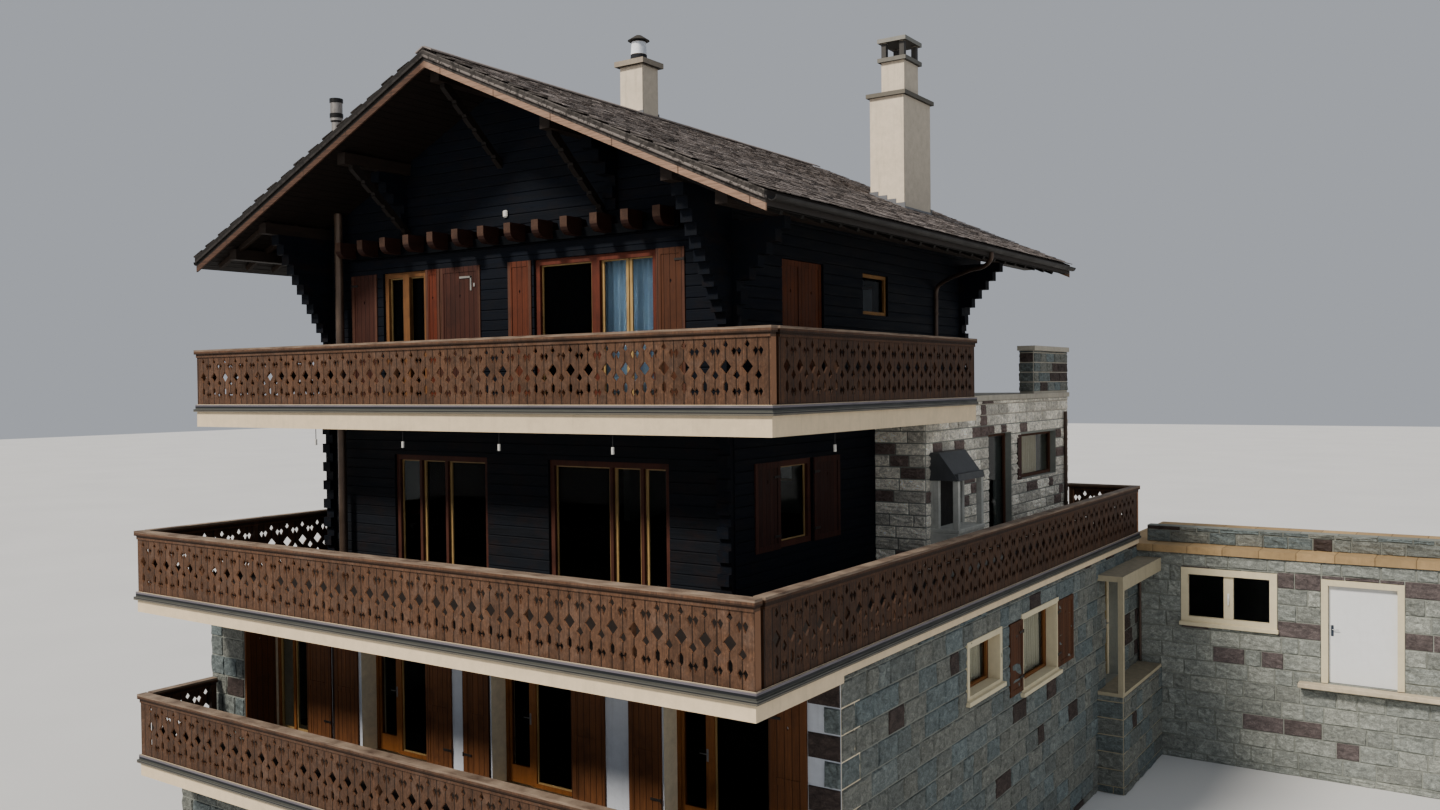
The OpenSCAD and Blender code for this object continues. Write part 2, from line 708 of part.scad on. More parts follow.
// The left wall stands behind the garden storey's rear wall, the right one at the free end
module annex_side_walls() color("#8d8f82") {
    box([side_x - annex_t, annex_y, 0],
        [side_x, annex_y + annex_d - annex_t, annex_top - coping_h]);
    box([annex_x - annex_t, annex_y + annex_t, 0],
        [annex_x, annex_y + annex_d - annex_t, annex_top - coping_h]);
}

// The annex's flat roof with its coping, the low parapet on it, and its floor
module annex_roof() color("#b98f63") {
    box([side_x, annex_y - coping_out, annex_top - coping_h],
        [annex_x + coping_out, annex_y + annex_d + coping_out, annex_top]);
    box([side_x - annex_t - coping_out, annex_y, annex_top - coping_h],
        [side_x, annex_y + annex_d + coping_out, annex_top]);
    box([side_x + 100, annex_y + annex_parapet[0], annex_top],
        [annex_x, annex_y + annex_parapet[1], annex_top + annex_parapet[2]]);
    box([side_x, annex_y + annex_t, lower_slab_z], [annex_x - annex_t,
        annex_y + annex_d - annex_t, lower_z - step_h]);
}

module porch() color("#e2d8c4") {
    box([porch_x - post_w, porch_y[0], lower_z - step_h],
        [porch_x, porch_y[0] + post_w, porch_top - porch_roof]);
    box([side_x, porch_y[0], porch_top - porch_roof], [porch_x, porch_y[1], porch_top]);
    box([porch_x - post_w, porch_y[0], porch_top - porch_beam],
        [porch_x, porch_y[1], porch_top - porch_roof]);
    box([side_x, porch_y[0], 0], [porch_x, porch_y[1], lower_z - step_h]);
}

// A door frame that fills an opening w wide and h high: two jambs, the head and the fixed halves
// of the hinges at its x = 0 side. Outside is y = 0.
module door_frame(w, h, fw, d) {
    difference() {
        cube([w, d, h]);
        box([fw, -1, -1], [w - fw, d + 1, h - fw]);
    }
    for (z = hinge_zs(h)) translate([fw + leaf_gap / 2, d + hinge_r, z]) {
        for (k = [-knuckle_h - 1, barrel_h + 1]) {
            translate([0, 0, k]) cylinder(h = knuckle_h, r = hinge_r);
            box([-plate_w, -hinge_r, k], [0, plate_t - hinge_r, k + knuckle_h]);
        }
        translate([0, 0, -knuckle_h - 1]) cylinder(h = barrel_h + 2 * knuckle_h + 2, r = pin_r);
    }
}

// The door leaf for that frame, with the hinge barrels that turn on its pins
module door_leaf(w, h, fw, d) {
    box([fw + leaf_gap, d - leaf_t, floor_gap], [w - fw - leaf_gap, d, h - fw - leaf_gap]);
    for (z = hinge_zs(h)) translate([fw + leaf_gap / 2, d + hinge_r, z]) difference() {
        union() {
            cylinder(h = barrel_h, r = hinge_r);
            box([leaf_gap / 2, -hinge_r, 0], [plate_w + leaf_gap / 2, plate_t - hinge_r, barrel_h]);
        }
        translate([0, 0, -1]) cylinder(h = barrel_h + 2, r = pin_r + pin_play);
    }
}

// Where each outer door stands: children are placed in its opening
module at_annex_door() translate([annex_doorway[1], annex_y - 20, lower_z - step_h])
    mirror([1, 0, 0]) children();
module at_entry_door() translate([side_x - 200, entry_y[0], lower_z - step_h])
    rotate(90) children();
annex_size = [annex_doorway[1] - annex_doorway[0], annex_door_top - lower_z + step_h];
entry_size = [entry_y[1] - entry_y[0], entry_top - lower_z + step_h];

// The fixed light beside the door of a garden bay, and the narrow window at the pier
function fixed_light(b) = [b[0] + post_off - frame_w / 2, b[1], lower_z, door_top];
pier_light = [bay_window[0], bay_window[1], lower_z, door_top];
pier_window_set = 60;

module garden_frames() color("#b06a2c") {
    facing_front(front_y + pier_window_set)
        frame(pier_light, [(bay_window[0] + bay_window[1]) / 2]);
    for (b = bays) {
        translate([b[0], front_y + reveal, lower_z])
            door_frame(post_off, door_head, frame_w, frame_d);
        facing_front(front_y + reveal) frame(fixed_light(b));
    }
}

// Places a frame or its glass in every opening of the timber walls
timber_w = 90;
timber_d = 100;
timber_set = 30;
module timber_frames() color("#a5622f") {
    facing_front(body_y + timber_set) {
        for (f = terrace_lights) frame(f[0], f[1], timber_w, timber_d);
        for (f = upper_lights) frame(f[0], f[1], timber_w, timber_d, 160);
    }
    facing_right(body_x - timber_set) {
        frame(terrace_side, [], timber_w, timber_d);
        frame(upper_side_window);
    }
    facing_right(body_x - 2 * timber_set) frame(upper_side_door);
    facing_left(body_x - timber_set) {
        frame(terrace_side, [], timber_w, timber_d);
        frame(upper_side_window);
    }
    facing_rear(body_rear - timber_set) for (h = upper_rear_windows) frame(h);
}

// The frames of the windows in the stone walls
stone_set = 180;
wing_set = 120;
annex_set = 100;
module stone_frames() color("#e6dfd0") {
    facing_right(side_x - stone_set) for (h = [small_window, side_window]) frame(h);
    facing_right(wing_x - wing_set) {
        frame(wing_window);
        frame(wing_door);
    }
    facing_front(annex_y + annex_set)
        frame(annex_window, [(annex_window[0] + annex_window[1]) / 2], frame_w, frame_d, 100);
    facing_rear(rear_y - stone_set) for (h = rear_windows) frame(h);
    facing_left(garden_left - stone_set) for (h = left_windows) frame(h);
    facing_rear(wing_rear - wing_set) for (h = wing_rear_windows) frame(h);
}

module door_frames() color("#e6dfd0") {
    at_annex_door() door_frame(annex_size[0], annex_size[1], annex_frame[0], annex_frame[1]);
    at_entry_door() door_frame(entry_size[0], entry_size[1], entry_frame[0], entry_frame[1]);
}

module window_glass() color("#9fb4bd", 0.4) {
    facing_front(front_y + pier_window_set) glass(pier_light);
    facing_front(front_y + reveal) for (b = bays) glass(fixed_light(b));
    facing_front(body_y + timber_set)
        for (f = concat(terrace_lights, upper_lights)) glass(f[0], timber_w, timber_d);
    facing_right(body_x - timber_set) {
        glass(terrace_side, timber_w, timber_d);
        glass(upper_side_window);
    }
    facing_right(body_x - 2 * timber_set) glass(upper_side_door);
    facing_left(body_x - timber_set) {
        glass(terrace_side, timber_w, timber_d);
        glass(upper_side_window);
    }
    facing_rear(body_rear - timber_set) for (h = upper_rear_windows) glass(h);
    facing_right(side_x - stone_set) for (h = [small_window, side_window]) glass(h);
    facing_right(wing_x - wing_set) for (h = [wing_window, wing_door]) glass(h);
    facing_front(annex_y + annex_set) glass(annex_window);
    facing_rear(rear_y - stone_set) for (h = rear_windows) glass(h);
    facing_left(garden_left - stone_set) for (h = left_windows) glass(h);
    facing_rear(wing_rear - wing_set) for (h = wing_rear_windows) glass(h);
}

// Shutters folded back on the garden storey's walls: left and right ends on the front wall
shutter_low = lower_z + 60;
shutter_mid = 900;
front_shutters = [[-3330, -2710], [-2600, -2020], [-380, 180], [440, 990], [2630, 3235],
    [3670, 4220], [5930, 6480]];
side_shutters = [[5480, 6080], [7870, 8780]];
module garden_shutters() color("#4a2a1e") {
    facing_front(front_y) for (s = front_shutters)
        shutter([s[0], s[1], shutter_low, door_top], shutter_mid);
    facing_right(pier_x + pier_w) shutter([front_y - pier_out + 10, front_y - 10, shutter_low,
        door_top], shutter_mid);
    facing_right(side_x) for (s = side_shutters) shutter([s[0], s[1], window_sill, window_head]);
}

// Shutters of the timber storeys: left and right ends on the front, start and end on the sides
upper_shutters = [[-3750, -3070], [-1800, -1460], [-1440, -490], [150, 660], [3180, 3700]];
terrace_side_shutters = [[1680, 2390], [3430, 4300]];
leaf_mid = (upper_side_door[0] + upper_side_door[1]) / 2;
module timber_shutters() color("#6b3527") {
    facing_front(body_y) for (s = upper_shutters) shutter([s[0], s[1], upper_z + 60, upper_head]);
    for (s = terrace_side_shutters) {
        facing_right(body_x) shutter([s[0], s[1], terrace_side[2], terrace_head]);
        facing_left(body_x) shutter([s[0], s[1], terrace_side[2], terrace_head]);
    }
    facing_right(body_x - 2 * timber_set) {
        shutter([upper_side_door[0] + 5, leaf_mid - 3, upper_z + 10, upper_side_door[3] - 5]);
        shutter([leaf_mid + 3, upper_side_door[1] - 5, upper_z + 10, upper_side_door[3] - 5]);
    }
}

module annex_door() color("#e9e9e4") at_annex_door()
    door_leaf(annex_size[0], annex_size[1], annex_frame[0], annex_frame[1]);

module entry_door() color("#5a4a28") at_entry_door()
    door_leaf(entry_size[0], entry_size[1], entry_frame[0], entry_frame[1]);

// The garden doors: a leaf with a closed foot, glazed over it, and its pane
leaf_hole = [frame_w + leaf_gap + leaf_stile, post_off - frame_w - leaf_gap - leaf_stile,
    leaf_panel, door_head - frame_w - leaf_gap - leaf_stile];
module at_garden_door(b) translate([b[0], front_y + reveal, lower_z]) children();
module garden_leaf(b) color("#b06a2c") at_garden_door(b) difference() {
    door_leaf(post_off, door_head, frame_w, frame_d);
    box([leaf_hole[0], frame_d - leaf_t - 1, leaf_hole[2]], [leaf_hole[1], frame_d + 1, leaf_hole[3]]);
}
module garden_pane(b) color("#9fb4bd", 0.4) at_garden_door(b)
    box([leaf_hole[0], frame_d - leaf_t / 2 - glass_t / 2, leaf_hole[2]],
        [leaf_hole[1], frame_d - leaf_t / 2 + glass_t / 2, leaf_hole[3]]);

module garden_door_left() garden_leaf(bays[0]);
module garden_door_middle() garden_leaf(bays[1]);
module garden_door_right() garden_leaf(bays[2]);
module garden_pane_left() garden_pane(bays[0]);
module garden_pane_middle() garden_pane(bays[1]);
module garden_pane_right() garden_pane(bays[2]);

base_walls();
corner_pier();
garden_front_piers();
garden_front_lintel();
garden_side_walls();
garden_rear_wall();
door_surrounds();
garden_floor();
deck_slabs();
deck_flashings();
lower_rail_front();
lower_rail_left();
terrace_rail_front();
terrace_rail_right();
terrace_rail_left();
terrace_rail_rear();
upper_rail_front();
upper_rail_right();
upper_rail_left();
log_fronts();
log_sides();
corner_logs();
roof();
verge_boards();
purlins();
braces();
gutters();
joist_beam();
chimneys();
stove_flue();
wing_side_wall();
wing_rear_wall();
wing_end_walls();
wing_roof();
fireplace();
annex_long_walls();
annex_side_walls();
annex_roof();
porch();
garden_frames();
timber_frames();
stone_frames();
door_frames();
garden_shutters();
timber_shutters();
window_glass();
annex_door();
entry_door();
garden_door_left();
garden_door_middle();
garden_door_right();
garden_pane_left();
garden_pane_middle();
garden_pane_right();
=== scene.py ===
"""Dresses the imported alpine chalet: stonework, logs, slates, joinery and finishes on its frame."""

import math
import random

import bpy
from mathutils import Matrix, Vector


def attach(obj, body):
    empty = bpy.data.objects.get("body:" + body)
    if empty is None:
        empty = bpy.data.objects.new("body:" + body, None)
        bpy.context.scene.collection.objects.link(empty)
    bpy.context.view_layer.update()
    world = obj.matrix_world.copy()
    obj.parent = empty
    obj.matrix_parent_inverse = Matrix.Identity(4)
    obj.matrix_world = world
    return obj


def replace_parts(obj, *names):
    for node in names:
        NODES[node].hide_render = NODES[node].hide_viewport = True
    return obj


bl_info = {
    "name": "Alpine chalet finishes",
    "version": (1, 0, 0),
    "blender": (4, 5, 0),
    "location": "3D View > Sidebar > Chalet",
    "description": "Lays the stones, logs, slates and joinery of an alpine chalet on its frame",
    "category": "Object",
}

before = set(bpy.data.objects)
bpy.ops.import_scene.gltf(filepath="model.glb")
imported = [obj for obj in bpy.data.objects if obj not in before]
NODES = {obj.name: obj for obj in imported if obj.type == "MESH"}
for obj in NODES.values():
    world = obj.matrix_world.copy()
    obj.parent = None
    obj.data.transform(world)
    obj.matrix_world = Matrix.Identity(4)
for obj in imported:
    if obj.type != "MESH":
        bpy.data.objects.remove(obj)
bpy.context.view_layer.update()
HOUSE = "house"

# Tops of the decks, heads of the walls and faces of the walls, in metres
LOWER, TERRACE, UPPER = 2.1, 4.8, 7.84
BASE_HEAD, GARDEN_HEAD, ANNEX_HEAD, TERRACE_HEAD, WING_HEAD = 1.75, 4.464, 4.40, 7.43, 7.74
GARDEN_LEFT, GARDEN_RIGHT, GARDEN_FRONT, GARDEN_REAR = -5.0, 6.95, -0.25, 13.35
LOG_SIDE, LOG_FRONT, LOG_REAR = 4.5, 1.15, 9.58
WING_RIGHT, WING_FRONT, WING_BACK = 5.46, 5.62, 13.29
ANNEX_LEFT, ANNEX_RIGHT, ANNEX_BACK = 6.55, 13.35, 17.55
PORCH_RIGHT, PORCH_FRONT = 7.46, 10.35
JOIST_PITCH = 0.59

# Wall openings, in metres: along the wall from, to, and height from, to
SMALL_WINDOW = (3.75, 5.04, 3.35, 4.12)
SIDE_WINDOW = (6.10, 7.85, 2.96, 4.15)
ENTRY = (10.90, 11.90, 1.98, 4.12)
ANNEX_WINDOW = (7.87, 9.74, 2.92, 4.10)
ANNEX_DOOR = (10.55, 12.00, 1.98, 4.06)
REAR_WINDOWS = [(-4.0, -3.0, 2.96, 4.15), (-0.5, 0.5, 2.96, 4.15), (3.0, 4.0, 2.96, 4.15)]
LEFT_WINDOWS = [(3.5, 4.5, 2.96, 4.15), (8.5, 9.5, 2.96, 4.15)]
WING_DOOR = (8.50, 9.73, 4.80, 7.09)
WING_WINDOW = (10.26, 12.47, 6.11, 7.02)
WING_REAR = [(-2.5, -1.5, 5.6, 6.93), (1.5, 2.5, 5.6, 6.93)]
TERRACE_LIGHTS = [(-2.68, -0.40, 4.80, 6.93), (0.96, 3.36, 4.80, 6.93)]
UPPER_LIGHTS = [(-2.91, -1.82, 7.84, 10.13), (0.71, 3.16, 7.84, 10.13)]
UPPER_REAR = [(-2.6, -1.6, 8.74, 10.13), (1.6, 2.6, 8.74, 10.13)]
TERRACE_SIDE = (2.41, 3.41, 5.60, 6.93)
UPPER_DOOR = (2.53, 3.82, 7.84, 10.02)
UPPER_WINDOW = (5.20, 6.17, 9.28, 9.98)

# Sashes: side, plane, heights, width of their wood and where each stands along the wall
SASHES = (
    ("front", 1.235, (4.86, 6.87), 0.05, ((-2.62, -2.09), (-2.03, -1.45), (-1.39, -0.46),
                                          (1.02, 2.19), (2.25, 2.79), (2.85, 3.30))),
    ("front", 1.235, (7.90, 10.07), 0.05, ((-2.85, -2.395), (-2.335, -1.88), (0.77, 1.88),
                                           (2.04, 2.57), (2.59, 3.10))),
    ("front", 0.075, (2.16, 4.19), 0.02, ((-1.33, -0.46), (1.64, 2.56), (4.87, 5.85))),
    ("front", -0.165, (2.16, 4.19), 0.05, ((-4.20, -3.81), (-3.80, -3.41))),
    ("right", 4.415, (5.66, 6.87), 0.05, ((2.47, 3.35),)),
    ("left", -4.415, (5.66, 6.87), 0.05, ((2.47, 3.35),)))

# Strap hinges: side, shutter's face, heights, and each strap from its pin to its tip
PALE_STRAPS = (("right", 4.475, (7.98,), ((2.54, 2.72), (3.81, 3.63))),)
DARK_STRAPS = (
    ("front", 1.115, (8.15, 9.95), ((3.70, 3.52), (-3.75, -3.57))),
    ("right", 4.535, (5.8, 6.7), ((2.39, 2.21), (3.43, 3.61))),
    ("front", -0.285, (2.5, 3.9), ((-2.71, -2.89), (0.18, 0.0), (0.44, 0.62), (4.22, 4.04),
                                   (5.93, 6.11))),
    ("right", 6.985, (3.2, 3.95), ((6.08, 5.90), (7.87, 8.05))))
# The bent irons on the upper shutter, as low and high corners (x, z)
SHUTTER_IRONS = (((-0.965, 9.93), (-0.68, 9.965)), ((-0.715, 9.72), (-0.68, 9.965)),
                 ((-0.715, 8.42), (-0.68, 8.68)), ((-0.715, 8.42), (-0.60, 8.45)),
                 ((-0.64, 9.78), (-0.60, 9.84)))

# Curtains: name, side, plane, plane of the rod's holders, ends, heights and colour
CURTAINS = (
    ("upper", "front", 1.44, 1.352, (1.93, 3.17), (7.95, 10.10), "#a9c6df"),
    ("wing", "right", 5.00, 5.078, (10.32, 12.42), (6.02, 7.06), "#cbb98f"),
    ("small", "right", 6.62, 6.68, (3.81, 4.98), (3.38, 4.09), "#dcd0b4"),
    ("side", "right", 6.62, 6.68, (6.16, 7.79), (2.99, 4.12), "#dcd0b4"))

# Balustrades: axis along, deck, start and end
RAILS = {
    "lower_rail_front": (0, LOWER, -5.05, 6.59), "lower_rail_left": (1, LOWER, -2.06, -0.89),
    "terrace_rail_front": (0, TERRACE, -5.05, 6.99),
    "terrace_rail_right": (1, TERRACE, -2.06, 13.31),
    "terrace_rail_left": (1, TERRACE, -2.06, 13.31), "terrace_rail_rear": (0, TERRACE, -5.05, 6.9),
    "upper_rail_front": (0, UPPER, -6.41, 6.03), "upper_rail_right": (1, UPPER, -0.1, 6.41),
    "upper_rail_left": (1, UPPER, -0.1, 6.41)}
RAIL_BOARD, RAIL_JOINT = 0.165, 0.012

# Places on a node with another colour: the colour, then ranges (axis, low, high)
RIDGE_X, SIDE_X = (0, -0.5, 0.7), (0, 3.1, 4.1)
CHIMNEY_SPOTS = [
    ("#9c9080", (2, 14.15, 14.272), RIDGE_X), ("#8d8f90", (2, 14.276, 14.31), RIDGE_X),
    ("#25262a", (2, 14.314, 14.42), RIDGE_X), ("#f6f8fc", (2, 14.424, 14.655), RIDGE_X),
    ("#222428", (2, 14.659, 14.9), RIDGE_X), ("#6f6a60", (2, 13.678, 13.762), SIDE_X),
    ("#77746c", (2, 14.428, 14.512), SIDE_X), ("#4d4b48", (2, 14.516, 14.806), SIDE_X),
    ("#8d8b83", (2, 14.81, 14.892), SIDE_X)]
FLUE_SPOTS = [
    ("#5c4c40", (2, 0.0, 11.55)), ("#1d1c1b", (2, 12.905, 12.935)),
    ("#1d1c1b", (2, 12.985, 13.065)), ("#1d1c1b", (2, 13.255, 13.335))]
TIMBER_FRAME_SPOTS = [
    ("#6a4626", (0, -3.0, -1.7), (2, 7.8, 10.2)), ("#7d5a32", (0, 4.2, 4.6), (2, 9.2, 10.1)),
    ("#43241a", (2, 4.7, 7.2))]
SHUTTER_SPOTS = [
    ("#5e2712", (0, -1.745, -1.515)), ("#5a2b17", (0, 0.205, 0.605)),
    ("#54301c", (0, 3.235, 3.645)), ("#56290d", (0, 4.42, 4.6), (2, 7.8, 10.1))]
SHUTTER_SPOTS += [("#553527", (0, low, high), (2, 7.8, 10.2)) for a, b in
                  ((-3.75, -3.07), (-1.80, -1.46), (-1.44, -0.49), (0.15, 0.66), (3.18, 3.70))
                  for low, high in ((a - 0.01, a + 0.055), (b - 0.055, b + 0.01))]

RIDGE_Z = 13.24
RISE = 0.4494
SLOPE = math.hypot(1, RISE)
ROOF_X = 6.08
ROOF_Y = (-0.43, 11.52)
ROOF_T = 0.20
SLATE_WIDTHS = (0.8, 0.9, 1.0, 1.12, 1.0, 0.9)

# The photo's camera: focal length and width in pixels, turn in degrees and place in metres
FOCAL, PHOTO_WIDTH, SENSOR = 1169.45, 1440, 36.0
EYE_TURN, EYE = (34.073, -1.026, -0.639), (13.700, -12.779, 8.109)

# Each side's turn about the vertical, the axis that it faces along, and its sense
SIDES = {"front": (0, 1, -1), "right": (90, 0, 1), "rear": (180, 1, 1), "left": (-90, 0, -1)}


# Sizes and colours that a user would change

def tint(code):
    """A screen colour such as #a0b0c0 as the linear numbers that Blender's colours take."""
    values = [int(code[i:i + 2], 16) / 255 for i in (1, 3, 5)]
    return tuple(v / 12.92 if v < 0.04045 else ((v + 0.055) / 1.055) ** 2.4 for v in values)


def metres(name, text, default, low, high):
    return bpy.props.FloatProperty(name=name, description=text, default=default, min=low,
                                   max=high, unit="LENGTH", precision=3)


def paint(name, text, code):
    return bpy.props.FloatVectorProperty(name=name, description=text, subtype="COLOR", size=3,
                                         min=0.0, max=1.0, default=tint(code))


class ChaletSizes(bpy.types.PropertyGroup):
    stone_course: metres("Stone course", "Height of a course of the garden storey", 0.333, 0.2, 0.5)
    wing_course: metres("Wing course", "Height of a course of the stone wing", 0.205, 0.12, 0.4)
    joint: metres("Joint", "Width of the mortar joints", 0.020, 0.005, 0.05)
    swell: metres("Stone swell", "How far a stone's face swells from its edge", 0.017, 0.0, 0.03)
    log_course: metres("Log course", "Height of a squared log", 0.17, 0.1, 0.3)
    slate_width: metres("Slate width", "Width of a roof slate", 0.27, 0.15, 0.5)
    slate_gauge: metres("Slate gauge", "Height of a slate that shows", 0.20, 0.1, 0.4)
    soffit_board: metres("Soffit board", "Width of the boards under the roof", 0.145, 0.08, 0.3)
    rafter_pitch: metres("Rafter pitch", "Distance between the rafters", 0.545, 0.3, 1.0)
    pipe: metres("Rain pipe", "Diameter of the rain pipes", 0.08, 0.05, 0.12)


class ChaletColours(bpy.types.PropertyGroup):
    stone: paint("Stone", "Grey-green stones", "#696b65")
    stone_blue: paint("Blue stone", "Stones with a blue tinge", "#5e6869")
    stone_dark: paint("Dark stone", "Purple-brown stones", "#3d3431")
    mortar: paint("Mortar", "Mortar and inner walls", "#83867e")
    render: paint("Render", "Pale render of the piers", "#bfc4cc")
    fascia: paint("Fascia", "Painted edges of the decks", "#d8c4a4")
    fretwork: paint("Fretwork", "Boards of the balustrades", "#483223")
    log: paint("Logs", "Tarred logs", "#080c13")
    beam: paint("Beams", "Beams, purlins and braces", "#1f1712")
    slate: paint("Slate", "Roof slates", "#746c68")
    verge: paint("Verge", "Weathered verge boards", "#8a6f5d")
    larch: paint("Larch", "Oiled window frames", "#7a4a22")
    shutter: paint("Upper shutters", "Shutters of the timber storeys", "#3f2016")
    shutter_low: paint("Lower shutters", "Shutters of the garden storey", "#5d381d")
    cream: paint("Cream", "Painted surrounds and frames", "#d2c6a6")
    chimney: paint("Chimneys", "Rough render of the chimneys", "#dfcfb8")
    coping: paint("Coping", "Sandstone coping", "#ac9068")
    door: paint("Annex door", "Painted annex door", "#dcdedf")


def sizes():
    return bpy.context.scene.chalet_sizes


def rgb(value):
    """A colour given as numbers, as a code such as #a0b0c0, or as the name of a chalet colour."""
    if not isinstance(value, str):
        return value
    if value.startswith("#"):
        return tint(value)
    return tuple(getattr(bpy.context.scene.chalet_colours, value))


def shade(value, factor, cool=0.0):
    """A colour made lighter or darker, and cooler above 0."""
    red, green, blue = rgb(value)
    return (red * factor * (1 - cool), green * factor, blue * factor * (1 + cool))


# Finishes

class Finish:
    """A node material on Object coordinates, built from noise, ramps and lines."""

    def __init__(self, name):
        self.material = bpy.data.materials.new(name)
        self.material.use_nodes = True
        self.tree = self.material.node_tree
        self.shader = self.tree.nodes["Principled BSDF"]
        self.place = self.add("ShaderNodeTexCoord").outputs["Object"]
        self.axes = self.add("ShaderNodeSeparateXYZ", (0, self.place)).outputs
        self.heights = []

    def add(self, kind, *links, **values):
        node = self.tree.nodes.new(kind)
        for key, value in values.items():
            setattr(node, key, value)
        for index, source in links:
            if hasattr(source, "is_linked"):
                self.tree.links.new(source, node.inputs[index])
            else:
                node.inputs[index].default_value = source
        return node

    def maths(self, operation, a, b=0.0):
        return self.add("ShaderNodeMath", (0, a), (1, b), operation=operation).outputs[0]

    def times(self, a, b):
        return self.maths("MULTIPLY", a, b)

    def minus(self, a, b):
        return self.maths("SUBTRACT", a, b)

    def own(self):
        """The tone that each stone, log or slate has in its mesh, from 0 to 1."""
        return self.add("ShaderNodeAttribute", attribute_name="tone").outputs["Fac"]

    def noise(self, size, detail=4.0, rough=0.6, warp=0.0):
        """Noise whose grain has about this size, along all axes or along x, y and z."""
        each = size if hasattr(size, "__len__") else (size,) * 3
        scaled = self.add("ShaderNodeMapping", (0, self.place))
        scaled.inputs["Scale"].default_value = [1 / s for s in each]
        return self.add("ShaderNodeTexNoise", (0, scaled.outputs[0]), ("Scale", 1.0),
                        ("Detail", detail), ("Roughness", rough), ("Distortion", warp)).outputs[0]

    def ramp(self, factor, *stops):
        node = self.add("ShaderNodeValToRGB", (0, factor))
        band = node.color_ramp
        while len(band.elements) < len(stops):
            band.elements.new(0.5)
        for element, (position, value) in zip(band.elements, stops):
            element.position = position
            element.color = (*rgb(value), 1)
        return node.outputs[0]

    def spread(self, factor, low, high, out_low=0.0, out_high=1.0):
        return self.add("ShaderNodeMapRange", (0, factor), (1, low), (2, high), (3, out_low),
                        (4, out_high)).outputs[0]

    def patches(self, size, detail, rough, low, high, most, warp=0.0):
        """Patches of noise: 0 below one value, and this much from the next one up."""
        return self.spread(self.noise(size, detail, rough, warp), low, high, 0.0, most)

    def mix(self, factor, a, b, mode="MIX"):
        a, b = (v if hasattr(v, "is_linked") else (*rgb(v), 1) for v in (a, b))
        return self.add("ShaderNodeMix", (0, factor), (6, a), (7, b), data_type="RGBA",
                        blend_type=mode).outputs[2]

    def line(self, axis, pitch, first, width):
        """1 on thin joints a pitch apart along an axis, and 0 between them."""
        away = self.maths("PINGPONG", self.minus(self.axes[axis], first), pitch / 2)
        return self.spread(away, width * 0.35, width, 1.0, 0.0)

    def board(self, axis, pitch, first):
        """A number from 0 to 1 for each board a pitch wide."""
        cell = self.maths("DIVIDE", self.minus(self.axes[axis], first), pitch)
        return self.add("ShaderNodeTexWhiteNoise", (1, self.maths("FLOOR", cell)),
                        noise_dimensions="1D").outputs[0]

    def above(self, height, soft=0.004):
        return self.spread(self.axes[2], height - soft, height + soft)

    def left(self, amount):
        """This amount left of the ridge, and 0 right of it."""
        return self.spread(self.axes[0], -0.1, 0.1, amount, 0.0)

    def inside(self, axis, low, high, soft=0.002):
        """1 between two places along an axis, and 0 outside them."""
        value = self.axes[axis]
        return self.times(self.spread(value, low - soft, low + soft),
                          self.spread(value, high - soft, high + soft, 1.0, 0.0))

    def facing(self, axis, low=0.5, high=0.8):
        """1 on faces that look along an axis, to either side."""
        normal = self.add("ShaderNodeNewGeometry").outputs["Normal"]
        apart = self.add("ShaderNodeSeparateXYZ", (0, normal))
        return self.spread(self.maths("ABSOLUTE", apart.outputs[axis]), low, high)

    def repaint(self, tone, base, spots):
        """Turns a tone built on one colour to others within ranges (axis, low, high)."""
        for other, *ranges in spots:
            factor = self.inside(*ranges[0])
            for span in ranges[1:]:
                factor = self.times(factor, self.inside(*span))
            ratio = tuple(b / max(a, 0.002) for a, b in zip(rgb(base), rgb(other)))
            tone = self.mix(factor, tone, ratio, "MULTIPLY")
        return tone

    def height(self, factor, amount):
        self.heights.append((factor, amount))

    def done(self, tone, rough, bump=0.01, metallic=0.0, gloss=0.2):
        """Joins the colour, the roughness (low, high, factor) and the heights to the shader."""
        link, inputs = self.tree.links.new, self.shader.inputs
        link(tone, inputs["Base Color"])
        low, high, factor = rough
        link(self.spread(factor, 0.3, 0.7, low, high), inputs["Roughness"])
        inputs["Metallic"].default_value = metallic
        inputs["Specular IOR Level"].default_value = gloss
        total = None
        for factor, amount in self.heights:
            part = self.times(factor, amount)
            total = part if total is None else self.maths("ADD", total, part)
        if total is not None:
            node = self.add("ShaderNodeBump", ("Strength", 1.0), ("Distance", bump),
                            ("Height", total))
            link(node.outputs["Normal"], inputs["Normal"])
        return self.material


